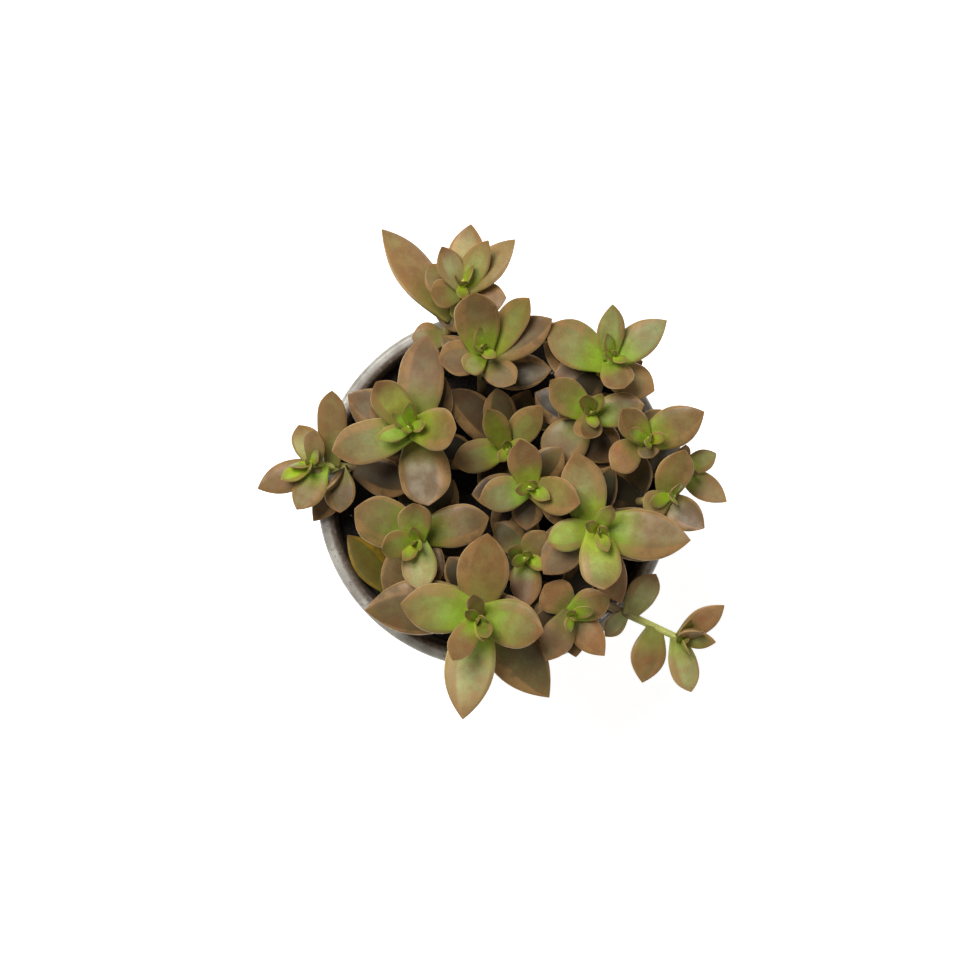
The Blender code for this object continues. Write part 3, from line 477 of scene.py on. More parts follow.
def stem_line(root, top):
    """Points along a stem, from the bottom of its hole to the growing tip, and its direction at the tip."""
    start = np.array([root[0] * MM, root[1] * MM, SOIL_LEVEL])
    end = np.array([top[0] * MM, top[1] * MM, POT_HEIGHT + top[2] * MM])
    slope = LEAN_OF_ROSETTE * (end - start) * np.array([1, 1, 0]) / (end[2] - start[2])
    axis = unit(slope / max(1.0, math.sqrt(float(slope @ slope))) + UP)
    reach = math.sqrt(float(((end - start) ** 2).sum()))
    points = [start - (STEM_DEPTH - SEAT_GAP) * UP]
    for share in np.linspace(0, 1, STEM_STATIONS):
        points.append(stem_point(start, end, axis, reach, share))
    return np.array(points), axis


def stem_point(start, end, axis, reach, share):
    """A point at this share of a stem's curve, which rises out of the soil and ends along its axis."""
    s2, s3 = share**2, share**3
    return (
        start * (2 * s3 - 3 * s2 + 1)
        + UP * STEM_RISE * reach * (s3 - 2 * s2 + share)
        + end * (3 * s2 - 2 * s3)
        + axis * reach * (s3 - s2)
    )


def point_below_tip(line, distance):
    """The place on a stem at this distance below its tip, and the stem's direction there."""
    for upper, lower in zip(line[::-1], line[-2::-1]):
        step = upper - lower
        size = math.sqrt(float(step @ step))
        if distance <= size:
            return upper - step * (distance / size), step / size
        distance -= size
    return line[0], UP


def make_leaf(stem, kind, tone, base, face, bearing, lift, roll=0, **shape):
    """A leaf's record. Its frame's columns are its length, its breadth and its upper face.

    The shape is its length, width and curl, and where they aren't 0 its bluntness and how much it gives way.
    """
    along = bearing_vector(bearing, lift)
    out = turned_about(unit(face - along * float(face @ along)), along, roll)
    axes = np.array([along, np.cross(out, along), out]).T
    place = {"stem": stem, "kind": kind, "tone": tone, "base": base, "frame": axes}
    return place | {"blunt": 0.0, "give": 0.0} | shape


def shown_leaves(name, line, axis):
    """The listed leaves, each as long as it must be for its tip to lie where it is listed."""
    leaves = []
    face = (1 - UPWARD_FACE) * axis + UPWARD_FACE * UP
    for bearing, reach, width, lift, below, roll, blunt, tone in ROSETTES[name][2]:
        base, _ = point_below_tip(line, below * MM)
        across = line[-1] + reach * MM * bearing_vector(bearing) - base
        rise = math.radians(lift)
        curl = LEAF_CURL + LIFTED_LEAF_CURL * max(0.0, math.sin(rise))
        length = math.hypot(across[0], across[1]) / (math.cos(rise) - curl * math.sin(rise))
        heading = math.degrees(math.atan2(across[1], across[0]))
        leaves.append(make_leaf(name, "shown", tone, base, face, heading, lift, roll, length=length,
                                width=width * MM, curl=curl, blunt=blunt, give=SHOWN_LEAF_GIVE))
    return leaves


def young_leaves(name, line, axis, number):
    """The small upright leaves round the growing tip."""
    leaves = []
    for n, (below, lift, length, width) in enumerate(YOUNG_LEAVES):
        base, _ = point_below_tip(line, below)
        bearing = YOUNG_LEAF_TURN * number + GOLDEN_ANGLE * n
        leaves.append(make_leaf(name, "young", "young", base, axis, bearing, lift, length=length,
                                width=width, curl=LEAF_CURL))
    return leaves


def lower_leaves(name, line, number):
    """Older leaves in a spiral down the stem, from below the rosette to just above the soil."""
    leaves = []
    for n in range(FEW_LOWER_LEAVES.get(name, MOST_LOWER_LEAVES)):
        base, along = point_below_tip(line, FIRST_LOWER_LEAF + n * LOWER_LEAF_SPACING)
        if base[2] < SOIL_LEVEL + LOWEST_LEAF:
            break
        grow = 0.5 + 0.5 * math.sin(LOWER_LEAF_WAVE[0] * n + LOWER_LEAF_WAVE[1] * number)
        tone = LOWER_LEAF_TONES[(n + 2 * number) % len(LOWER_LEAF_TONES)]
        bearing = LOWER_LEAF_BEARING + LOWER_LEAF_TURN * number + GOLDEN_ANGLE * n
        lift = LOWER_LEAF_LIFT - LOWER_LEAF_LIFT_LOSS * n
        length = LOWER_LEAF_LENGTH + LOWER_LEAF_EXTRA_LENGTH * grow
        width = LOWER_LEAF_WIDTH + LOWER_LEAF_EXTRA_WIDTH * grow
        leaves.append(make_leaf(name, "lower", tone, base, along, bearing, lift, length=length, width=width,
                                curl=LOWER_LEAF_CURL, blunt=1 - grow, give=LOWER_LEAF_GIVE))
    return leaves


def waves(x, y, turns):
    """The height of each wave at (x, y), from how fast it turns along x and along y, and its shift."""
    return (np.sin(along_x * x + along_y * y + shift) for along_x, along_y, shift in turns)


def soil_height(x, y):
    """The uneven top of the soil, a little lower beside the wall."""
    r = np.hypot(x, y) / NECK_RADIUS
    first, second, slanting = waves(x, y, SOIL_WAVES)
    lumps = first * second + 0.6 * slanting
    return SOIL_LEVEL + SOIL_LUMP * lumps * (1 - r**4) - SOIL_EDGE_DROP * r**3


def old_leaf():
    """The dropped leaf, turned a little so that its upper face looks up and inward."""
    return make_leaf("old_leaf", "old", "fallen", OLD_LEAF_BASE, UP, OLD_LEAF_BEARING, OLD_LEAF_LIFT,
                     OLD_LEAF_ROLL, length=OLD_LEAF_LENGTH, width=OLD_LEAF_WIDTH, curl=LEAF_CURL)


def lay_out_plant():
    """Every stem's line and every leaf, as they would stand if nothing were in their way."""
    lines, leaves = {}, []
    for number, (name, (root, top, _)) in enumerate(ROSETTES.items()):
        line, axis = stem_line(root, top)
        lines[name] = line
        leaves += shown_leaves(name, line, axis)
        leaves += young_leaves(name, line, axis, number)
        leaves += lower_leaves(name, line, number)
    return lines, leaves + [old_leaf()]


# Settling: leaves that would cross turn about their roots until they are clear


def feelers(leaf):
    """Points inside the leaf with the radius of its flesh there."""
    t, across = (grid.ravel() for grid in np.meshgrid(FEELERS_ALONG, FEELERS_ACROSS, indexing="ij"))
    upper = leaf_points(leaf, t, across, False)
    lower = leaf_points(leaf, t, across, True)
    half = 0.5 * (upper[:, 2] - lower[:, 2])
    return 0.5 * (upper + lower), np.maximum(half, THINNEST_FLESH) + 0.5 * SETTLE_GAP


def stem_feelers(line):
    """Points along a stem above the soil, closer together than its stations."""
    return np.concatenate([line[1:], 0.5 * (line[1:-1] + line[2:])])


def small_turns(spin):
    """Rotation matrices for small rotation vectors, one for each row."""
    angle = np.sqrt((spin * spin).sum(1)) + LEAST_TURN
    axis = spin / angle[:, None]
    c, s = np.cos(angle), np.sin(angle)
    x, y, z = axis.T
    rows = [
        [c + x * x * (1 - c), x * y * (1 - c) - z * s, x * z * (1 - c) + y * s],
        [y * x * (1 - c) + z * s, c + y * y * (1 - c), y * z * (1 - c) - x * s],
        [z * x * (1 - c) - y * s, z * y * (1 - c) + x * s, c + z * z * (1 - c)],
    ]
    return np.array(rows).transpose(2, 0, 1)


def push_between_leaves(world, radii, give, owner, outer, pairs):
    """The push of other leaves on each feeler, and how many feelers press on it."""
    low, high = (world - radii[..., None]).min(1), (world + radii[..., None]).max(1)
    first, second = pairs
    near = ((low[first] < high[second]) & (low[second] < high[first])).all(1)
    a, b = first[near], second[near]
    apart = world[a][:, :, None] - world[b][:, None]
    distance = np.sqrt((apart * apart).sum(3)) + TINY
    depth = np.maximum(radii[a][:, :, None] + radii[b][:, None] - distance, 0)
    same_stem = (owner[a] == owner[b])[:, None, None]
    both_outer = outer[a][:, :, None] & outer[b][:, None]
    depth = np.where(same_stem & ~both_outer, 0, depth)
    share = (give[a] / np.maximum(give[a] + give[b], TINY))[:, None, None]
    push = apart * (depth / distance)[..., None]
    total = np.zeros_like(world)
    count = np.zeros(world.shape[:2])
    np.add.at(total, a, (push * share[..., None]).sum(2))
    np.add.at(total, b, -(push * (1 - share)[..., None]).sum(1))
    np.add.at(count, a, (depth > 0).sum(2))
    np.add.at(count, b, (depth > 0).sum(1))
    return total, count


def push_from_stems(world, radii, owner, lines):
    """The push of the other stems on each feeler, and how many points of them press on it."""
    points = [stem_feelers(line) for line in lines.values()]
    stem_owner = np.repeat(np.arange(len(points)), [len(part) for part in points])
    away = world[:, :, None] - np.concatenate(points)
    distance = np.sqrt((away**2).sum(3)) + TINY
    depth = np.maximum(radii[:, :, None] + STEM_ROOT_RADIUS - distance, 0)
    depth = np.where((owner[:, None] == stem_owner)[:, None], 0, depth)
    return (away * (depth / distance)[..., None]).sum(2), (depth > 0).sum(2)


def push_from_pot(world, radii):
    """The push of the pot's lip, its wall and the soil on each feeler, and whether they press on it."""
    out = np.sqrt(world[..., 0] ** 2 + world[..., 1] ** 2) + TINY
    radial = world[..., :2] / out[..., None]
    push = np.zeros_like(world)
    lip_radius = RIM_RADIUS - 0.5 * LIP_TOP_WIDTH
    for drop in LIP_TUBE_DROPS:
        beside, over = out - lip_radius, world[..., 2] - (POT_HEIGHT - drop)
        apart = np.sqrt(beside * beside + over * over) + TINY
        depth = np.maximum(LIP_TUBE_RADIUS + radii - apart, 0) / apart
        push[..., :2] += radial * (beside * depth)[..., None]
        push[..., 2] += np.maximum(over, SEAT_GAP) * depth
    inside = out < lip_radius
    sunk = inside & (world[..., 2] < POT_HEIGHT)
    wall = inner_wall_radius(world[..., 2]) - WALL_CLEARANCE
    into_wall = np.where(sunk, np.maximum(out + radii - wall, 0), 0)
    push[..., :2] -= radial * into_wall[..., None]
    push[..., 2] += np.where(inside, np.maximum(SOIL_LEVEL + SOIL_LUMP + radii - world[..., 2], 0), 0)
    return push, (push**2).sum(2) > 0


def turn_of_leaves(arm, push, count, give):
    """The small turn about its root that each leaf makes under the pushes on its feelers."""
    turn = np.cross(arm, push) / ((arm**2).sum(2) + SHORTEST_ARM**2)[..., None]
    gain = SETTLE_GAIN * give**GIVE_POWER
    return turn.sum(1) * (gain / np.maximum(count.sum(1), 1))[:, None]


def settle(leaves, lines):
    """Turns each leaf about its root until it presses on nothing. Shown leaves give way the least."""
    base = np.array([leaf["base"] for leaf in leaves])
    frame = np.array([leaf["frame"] for leaf in leaves])
    give = np.array([leaf["give"] for leaf in leaves])
    length = np.array([leaf["length"] for leaf in leaves])
    wanted = frame.copy()
    stems = {name: n for n, name in enumerate(lines)}
    owner = np.array([stems.get(leaf["stem"], -1) for leaf in leaves])
    local, radii = (np.array(part) for part in zip(*(feelers(leaf) for leaf in leaves)))
    outer = local[:, :, 0] > ROOT_SHARE * length[:, None]
    pairs = np.triu_indices(len(leaves), 1)
    for step in range(SETTLE_STEPS):
        world = base[:, None] + np.einsum("nij,nkj->nki", frame, local)
        pushes = (
            push_between_leaves(world, radii, give, owner, outer, pairs),
            push_from_stems(world, radii, owner, lines),
            push_from_pot(world, radii),
        )
        push = sum(part for part, _ in pushes)
        count = sum(part for _, part in pushes)
        turn = turn_of_leaves(world - base[:, None], push, count, give)
        back = 0.5 * sum(np.cross(frame[:, :, n], wanted[:, :, n]) for n in range(3))
        hold = HOLD * (1 - step / SETTLE_STEPS) * (give > 0)
        frame = np.einsum("nij,njk->nik", small_turns(turn + hold[:, None] * back), frame)
    for leaf, turned_frame in zip(leaves, frame):
        leaf["frame"] = turned_frame
    return without_crossed_leaves(leaves, lines)


def surface_tree(verts, faces):
    return BVHTree.FromPolygons([tuple(map(float, v)) for v in verts], faces)


def without_crossed_leaves(leaves, lines):
    """Leaves out each lower leaf that still crosses another stem or one of its leaves."""
    kept = [leaf for leaf in leaves if leaf["kind"] != "lower"]
    solid = [(leaf["stem"], surface_tree(*plain_leaf_mesh(leaf))) for leaf in kept]
    solid += [(name, surface_tree(*stem_mesh(line))) for name, line in lines.items()]
    for leaf in leaves:
        if leaf["kind"] == "lower":
            own = surface_tree(*plain_leaf_mesh(leaf))
            if not any(name != leaf["stem"] and own.overlap(other) for name, other in solid):
                kept.append(leaf)
                solid.append((leaf["stem"], own))
    return kept


def skin(rings, tip=None, start=None):
    """Faces over rings of equal length, closed by a flat cap or by a point at either end."""
    count = len(rings[0])
    verts = [p for ring in rings for p in ring]
    faces = []
    for r in range(len(rings) - 1):
        for n in range(count):
            m = (n + 1) % count
            faces.append((r * count + n, r * count + m, (r + 1) * count + m, (r + 1) * count + n))
    last = (len(rings) - 1) * count
    if tip is None:
        faces.append(tuple(range(last, last + count)))
    else:
        faces += [(last + n, last + (n + 1) % count, len(verts)) for n in range(count)]
        verts.append(tip)
    if start is None:
        faces.append(tuple(range(count - 1, -1, -1)))
    else:
        faces += [((n + 1) % count, n, len(verts)) for n in range(count)]
        verts.append(start)
    return verts, faces


# Where a plain leaf's mesh has its rings, and the places round each ring as (across, below)
KEELED = ((1, False), (0, False), (-1, False), (-0.45, True), (0.45, True))
LEAF_RINGS = {
    "young": ((0, 0.55), ((1, False), (-1, False), (0, True))),
    "lower": ((0, 0.32, 0.74), KEELED),
    "shown": ((0, 0.24, 0.54, 0.82), KEELED),
    "old": ((0, 0.24, 0.54, 0.82), KEELED),
}


def plain_leaf_mesh(leaf):
    """The leaf as its CAD solid has it, to find the leaves that cross."""
    stations, section = LEAF_RINGS[leaf["kind"]]
    across, below = (np.array(side) for side in zip(*section))
    rings = [leaf_places(leaf, t, across, below) for t in stations]
    return skin(rings, leaf_places(leaf, 1.0, 0.0, False))


def stem_mesh(points, sides=STEM_SIDES, share=1.0):
    """The stem as its CAD solid has it, or with more sides and a share of its radius."""
    rings = []
    for n, point in enumerate(points):
        along = unit(points[min(n + 1, len(points) - 1)] - points[max(n - 1, 0)])
        side = unit(np.cross(along, STEM_SEAM))
        other = np.cross(along, side)
        radius = share * (STEM_ROOT_RADIUS + (STEM_TIP_RADIUS - STEM_ROOT_RADIUS) * n / (len(points) - 1))
        rings.append([point + radius * (side * math.cos(a) + other * math.sin(a))
                      for a in np.linspace(0, 2 * math.pi, sides, endpoint=False)])
    tip = points[-1] + STEM_TIP_LENGTH * unit(points[-1] - points[-2])
    return skin(rings, tip)


# The shown meshes


def linked(name, data):
    """A new object of the scene that shows this data."""
    obj = bpy.data.objects.new(name, data)
    bpy.context.scene.collection.objects.link(obj)
    return obj


def make_piece(name, verts, faces, material, smooth=True):
    """A mesh object from points and faces."""
    mesh = bpy.data.meshes.new(name)
    mesh.from_pydata(np.asarray(verts, dtype=float).tolist(), [], faces)
    mesh.materials.append(material)
    if smooth:
        mesh.shade_smooth()
    mesh.update()
    return linked(name, mesh)


def add_attribute(obj, name, kind, values):
    """Values for each point of the mesh, which its material reads by this name."""
    attribute = obj.data.attributes.new(name, kind, "POINT")
    field = {"FLOAT": "value", "FLOAT_VECTOR": "vector", "FLOAT_COLOR": "color"}[kind]
    attribute.data.foreach_set(field, np.asarray(values, dtype=np.float32).ravel())


def linear(colour):
    """A colour from 0 to 255 as the eye sees it, in linear light."""
    share = np.array(colour) / 255
    return np.where(share <= 0.04045, share / 12.92, ((share + 0.055) / 1.055) ** 2.4)


def eased_share(t, low, high):
    """The smooth rise of t from low to high, as a column from 0 to 1."""
    share = np.clip((t - low) / (high - low), 0, 1)[:, None]
    return share * share * (3 - 2 * share)


def leaf_colours(leaf, t, dice):
    """The leaf's colours along it, from its tone and a small spread of its own; the shade tones are painted
    shade.
    """
    base, middle, tip = (linear(colour) for colour in TONES[leaf["tone"]])
    spread = 1 + TONE_SPREAD * dice.uniform(-1, 1, 4)
    first, second = eased_share(t, *MIDDLE_FROM_TO), eased_share(t, *TIP_FROM_TO)
    colour = (base * (1 - first) + middle * first) * (1 - second) + tip * second
    return np.concatenate([colour * spread[:3] * spread[3], np.ones((len(t), 1))], 1)


def fine_grid():
    """The points of a fine leaf, ring by ring to the tip: their share along it, across it and round it."""
    ring = np.arange(FINE_RINGS) / FINE_RINGS
    along = np.sin(0.5 * math.pi * ring) ** RING_CROWDING
    turn = 2 * math.pi * np.arange(FINE_SIDES) / FINE_SIDES
    t, turn = (grid.ravel() for grid in np.meshgrid(along, turn, indexing="ij"))
    t, turn = np.append(t, 1.0), np.append(turn, 0.0)
    across, rise = np.cos(turn), np.sin(turn)
    across[-1] = 0
    return t, across, rise


def bend(points, t, sway, twist):
    """Sways the leaf sideways and twists it about its length, more and more towards the tip."""
    points[:, 1] += sway * t * t * np.sin(math.pi * t)
    angle = np.radians(twist) * t
    y, z = points[:, 1].copy(), points[:, 2].copy()
    points[:, 1] = y * np.cos(angle) - z * np.sin(angle)
    points[:, 2] = y * np.sin(angle) + z * np.cos(angle)


def fine_leaf(leaf, dice):
    """A leaf's fine skin: its points, and for each its colour, shape values and place on the leaf."""
    t, across, rise = fine_grid()
    keel = -LEAF_KEEL_SHARE * np.maximum(-rise, 0) ** KEEL_MARGIN_POWER
    crown = LEAF_TOP_SHARE * np.maximum(rise, 0) ** TOP_MARGIN_POWER
    shifts = dice.uniform(0, 2 * math.pi, 3)
    sway, twist = dice.uniform(-MOST_SWAY, MOST_SWAY), dice.uniform(-MOST_TWIST, MOST_TWIST)
    turns = ((*wave, shift) for wave, shift in zip(DENT_WAVES, shifts))
    first, second = waves(t, across, turns)
    points = spine(leaf, t, across, keel + crown + MOST_DENT * (first * second))
    bend(points, t, sway * leaf["length"], twist)
    mottle_shift = np.full(len(t), dice.uniform(0, MOST_MOTTLE_SHIFT))
    place = np.stack([points[:, 0] / MM, points[:, 1] / MM, mottle_shift], 1)
    # One side of the leaf, picked by its sway, gets a band of painted light
    painted_light_side = 1 if sway > 0 else -1
    shape = np.stack([t, painted_light_side * across, np.maximum(-rise, 0)], 1)
    return leaf["base"] + points @ leaf["frame"].T, leaf_colours(leaf, t, dice), shape, place


def fine_leaf_faces():
    """The faces of one fine leaf: quads between rings, a fan at the tip and a cap inside the stem."""
    ring = np.arange(FINE_SIDES)
    faces = []
    for r in range(FINE_RINGS - 1):
        low, high = r * FINE_SIDES + ring, (r + 1) * FINE_SIDES + ring
        faces += np.stack([np.roll(low, -1), low, high, np.roll(high, -1)], 1).tolist()
    last = (FINE_RINGS - 1) * FINE_SIDES + ring
    faces += [[int(b), int(a), FINE_RINGS * FINE_SIDES] for a, b in zip(last, np.roll(last, -1))]
    return faces + [list(range(FINE_SIDES))]


def make_leaves(name, leaves, material, dice):
    """One object of fine leaves, with the values that their material reads."""
    faces, parts = fine_leaf_faces(), [fine_leaf(leaf, dice) for leaf in leaves]
    points, colours, shapes, places = (np.concatenate(side) for side in zip(*parts))
    each = FINE_RINGS * FINE_SIDES + 1
    every_face = [[v + n * each for v in face] for n in range(len(leaves)) for face in faces]
    obj = make_piece(name, points, every_face, material)
    add_attribute(obj, "leaf_colour", "FLOAT_COLOR", colours)
    add_attribute(obj, "leaf_shape", "FLOAT_VECTOR", shapes)
    add_attribute(obj, "leaf_place", "FLOAT_VECTOR", places)
    return obj


def make_stalk(name, line, axis, material):
    """The bare stem, with a finer curve and more sides than its CAD solid."""
    start, end = line[1], line[-1]
    reach = math.sqrt(float(((end - start) ** 2).sum()))
    curve = [stem_point(start, end, axis, reach, s) for s in np.linspace(0, 1, FINE_STEM_RINGS)]
    points = np.array([line[0], *curve])
    verts, faces = stem_mesh(points, FINE_STEM_SIDES, FINE_STEM_SHARE)
    obj = make_piece(name, verts, faces, material)
    height = np.concatenate([np.repeat(np.linspace(0, 1, len(points)), FINE_STEM_SIDES), [1]])
    add_attribute(obj, "up_the_stem", "FLOAT", height)
    return obj


def turned(name, profile, sides, material):
    """A body turned about +Z from (radius, height) points that begin and end on the axis."""
    edit = bmesh.new()
    chain = [edit.verts.new((r, 0, z)) for r, z in profile]
    edges = [edit.edges.new(pair) for pair in zip(chain, chain[1:])]
    bmesh.ops.spin(edit, geom=chain + edges, axis=(0, 0, 1), cent=(0, 0, 0), angle=2 * math.pi, steps=sides,
                   use_merge=True)
    bmesh.ops.remove_doubles(edit, verts=edit.verts, dist=MERGE)
    bmesh.ops.recalc_face_normals(edit, faces=edit.faces)
    mesh = bpy.data.meshes.new(name)
    edit.to_mesh(mesh)
    edit.free()
    mesh.materials.append(material)
    return linked(name, mesh)


def cut_away(obj, cutters):
    """Cuts each cutter from the object and removes it."""
    for cutter in cutters:
        modifier = obj.modifiers.new("cut", "BOOLEAN")
        modifier.operation = "DIFFERENCE"
        modifier.solver = "EXACT"
        modifier.object = cutter
    bpy.context.view_layer.update()
    made = bpy.data.meshes.new_from_object(obj.evaluated_get(bpy.context.evaluated_depsgraph_get()))
    obj.modifiers.clear()
    obj.data = made
    for cutter in cutters:
        bpy.data.objects.remove(cutter)


def inner_wall_radius(z):
    """The inside of the pot's tapered wall at this height."""
    neck_height = POT_HEIGHT - LIP_DROP
    return FOOT_RADIUS + (NECK_RADIUS - FOOT_RADIUS) * z / neck_height - WALL


def arc(centre_r, centre_z, radius, start, end, steps):
    return [(centre_r + radius * math.cos(math.radians(a)), centre_z + radius * math.sin(math.radians(a)))
            for a in np.linspace(start, end, steps)]


def pot_profile():
    """The pot's section: from the axis out under the floor, up the outside, over the lip and down inside."""
    lip_bottom = POT_HEIGHT - LIP_DROP
    lip_inner = RIM_RADIUS - WALL
    round_z = POT_HEIGHT - LIP_ROUND
    return [
        (0, 0),
        (CHANNEL_INNER, 0),
        (CHANNEL_INNER + FOOT_CHAMFER, CHANNEL_DEPTH),
        (FOOT_RING_INNER - FOOT_CHAMFER, CHANNEL_DEPTH),
        (FOOT_RING_INNER, 0),
        (FOOT_RADIUS - FOOT_CHAMFER, 0),
        (FOOT_RADIUS, FOOT_CHAMFER),
        (NECK_RADIUS, lip_bottom),
        (NECK_RADIUS + NECK_FLARE, POT_HEIGHT - LIP_ROOF),
        (lip_inner, POT_HEIGHT - LIP_ROOF),
        (lip_inner, lip_bottom),
        (RIM_RADIUS, lip_bottom),
        *arc(RIM_RADIUS - LIP_ROUND, round_z, LIP_ROUND, 0, 90, LIP_OUTER_STEPS),
        *arc(RIM_RADIUS - LIP_TOP_WIDTH, round_z, LIP_ROUND, 90, LIP_INNER_END, LIP_INNER_STEPS),
        (inner_wall_radius(lip_bottom), lip_bottom),
        (inner_wall_radius(FLOOR_TOP), FLOOR_TOP),
        (0, FLOOR_TOP),
    ]


def drain_drill(number, material):
    """A round bar through the floor, where one of the drain holes goes."""
    middle = 0.5 * (CHANNEL_INNER + FOOT_RING_INNER)
    angle = 2 * math.pi * (number + 0.5) / DRAIN_HOLES
    x, y = middle * math.cos(angle), middle * math.sin(angle)
    turns = np.linspace(0, 2 * math.pi, DRAIN_SIDES, endpoint=False)
    rings = [[(x + DRAIN_RADIUS * math.cos(a), y + DRAIN_RADIUS * math.sin(a), z) for a in turns]
             for z in (-DRILL_SPARE, FLOOR_TOP + DRILL_SPARE)]
    return make_piece(f"drill_{number}", *skin(rings), material, smooth=False)


def make_pot(material):
    """One moulded shell: a tapered wall, a lip turned out and down, and a floor with drain holes."""
    pot = turned("nursery_pot", pot_profile(), POT_SIDES, material)
    cut_away(pot, [drain_drill(n, material) for n in range(DRAIN_HOLES)])
    pot.data.shade_smooth()
    pot.data.set_sharp_from_angle(angle=math.radians(CREASE_ANGLE))
    return pot


def grit_height(x, y):
    """The fine roughness of the soil's top."""
    first, second, third, fourth = waves(x, y, GRIT_WAVES)
    return SOIL_GRIT * (0.5 * first * second + 0.3 * third * fourth)


def make_soil(material):
    """The fill with an uneven, gritty top."""
    bottom = FLOOR_TOP + SEAT_GAP
    edge = inner_wall_radius(SOIL_LEVEL) - SOIL_WALL_GAP
    angle = np.linspace(0, 2 * math.pi, SOIL_SIDES, endpoint=False)

    def ring(radius, height=None):
        x, y = radius * np.cos(angle), radius * np.sin(angle)
        z = soil_height(x, y) + grit_height(x, y) if height is None else np.full(len(angle), height)
        return np.stack([x, y, z], 1)

    rings = [ring(inner_wall_radius(bottom) - SOIL_WALL_GAP, bottom)]
    rings += [ring(edge * share) for share in np.linspace(1, 0, SOIL_RINGS)[:-1]]
    return make_piece("soil_fill", *skin(rings, (0, 0, soil_height(0, 0)), (0, 0, bottom)), material)


def lump(dice, size):
    """A small broken lump: points and faces about the origin."""
    edit = bmesh.new()
    bmesh.ops.create_icosphere(edit, subdivisions=2, radius=1)
    squash = dice.uniform(*LUMP_SQUASH, 3)
    facets = dice.normal(size=(LUMP_FACETS, 3))
    facets /= np.sqrt((facets**2).sum(1))[:, None]
    points = np.array([v.co for v in edit.verts])
    for facet in facets:
        over = np.maximum(points @ facet - dice.uniform(*LUMP_FACET_AT), 0)
        points -= over[:, None] * facet
    points *= squash * size
    faces = [[v.index for v in face.verts] for face in edit.faces]
    edit.free()
    return points, faces


def scatter(name, count, sizes, sink, material, dice):
    """Lumps that lie on the soil, each sunk in it by a share of its size, as one object."""
    verts, faces, total = [], [], 0
    most = inner_wall_radius(SOIL_LEVEL) - SOIL_WALL_GAP
    for _ in range(count):
        size = dice.uniform(*sizes) * 0.5
        points, lump_faces = lump(dice, size)
        r = (most - LUMP_WALL_ROOM * size) * math.sqrt(dice.uniform())
        angle = dice.uniform(0, 2 * math.pi)
        x, y = r * math.cos(angle), r * math.sin(angle)
        z = float(soil_height(x, y) + grit_height(x, y)) + size * (LUMP_RISE - sink)
        verts.append(points + (x, y, z))
        faces += [[v + total for v in face] for face in lump_faces]
        total += len(points)
    return make_piece(name, np.concatenate(verts), faces, material, smooth=False)


# Materials. A pair of numbers is where an effect starts and where it is full. A second pair is how strong it
# is at each end. On a leaf they are shares of its length, of half its width, or of the mottling's noise.

CLEAR_OF_BASE = (0.12, 0.5)
MIDDLE_BAND = (0.7, 0.2)
EDGE_BAND = (0.78, 0.88)
PAINTED_LIGHT_BAND = (0.42, 0.56)
PALE_MARGIN_AND_HIGHLIGHT = (0.95, 0.985)
TIP_BLUSH = (0.8, 1.0)
PAINTED_SHEEN_PATCHES = (0.42, 0.6)
SIDE_PATCHES = (0.34, 0.52, 0.3, 0.7)
WARM_PATCHES = (0.5, 0.68)
COOL_PATCHES = (0.5, 0.7)
PATCH_STRENGTH = 0.6
MARGIN_STRENGTH = 0.5
TIP_STRENGTH = 0.45
SHADOW_STRENGTH = 0.5
# The socket numbers of a Mix node's share and two colours, and of the colour that it puts out
MIX_INPUTS = (0, 6, 7)
MIX_RESULT = 2


def feed(tree, socket, value):
    """Sets a socket to a number or a colour, or links another node's socket to it."""
    if isinstance(value, bpy.types.NodeSocket):
        tree.links.new(value, socket)
    else:
        socket.default_value = value


def add(tree, kind, settings=None, **inputs):
    """A shader node. Each input is a number, a colour or another node's socket."""
    node = tree.nodes.new(kind)
    for key, value in (settings or {}).items():
        setattr(node, key, value)
    for key, value in inputs.items():
        feed(tree, node.inputs[key.replace("_", " ")], value)
    return node


def math_of(tree, operation, a, b=0.0):
    node = add(tree, "ShaderNodeMath", {"operation": operation})
    feed(tree, node.inputs[0], a)
    feed(tree, node.inputs[1], b)
    return node.outputs[0]


def product(tree, *factors):
    """The factors multiplied with each other."""
    result = factors[0]
    for factor in factors[1:]:
        result = math_of(tree, "MULTIPLY", result, factor)
    return result


def eased(tree, value, low, high, to_low=0.0, to_high=1.0):
    """The value's rise from low to high, smoothed, as a number from to_low to to_high."""
    return add(tree, "ShaderNodeMapRange", {"interpolation_type": "SMOOTHSTEP"}, Value=value,
               From_Min=low, From_Max=high, To_Min=to_low, To_Max=to_high).outputs[0]


def blended(tree, share, a, b, mode="MIX"):
    """Colour b over colour a, by share."""
    node = add(tree, "ShaderNodeMix", {"data_type": "RGBA", "blend_type": mode})
    for number, value in zip(MIX_INPUTS, (share, a, b)):
        feed(tree, node.inputs[number], value)
    return node.outputs[MIX_RESULT]


def noise(tree, place, scale, detail, rough):
    """A noise over the surface, as a value and as a colour."""
    return add(tree, "ShaderNodeTexNoise", Vector=place, Scale=scale, Detail=detail, Roughness=rough).outputs


def attribute(tree, name, output):
    """The values that a mesh carries by this name."""
    return add(tree, "ShaderNodeAttribute", {"attribute_name": name}).outputs[output]


def object_place(tree):
    return add(tree, "ShaderNodeTexCoord").outputs["Object"]


def split(tree, vector):
    return add(tree, "ShaderNodeSeparateXYZ", Vector=vector).outputs


def colour_of(colour):
    return (*(float(v) for v in linear(colour)), 1)


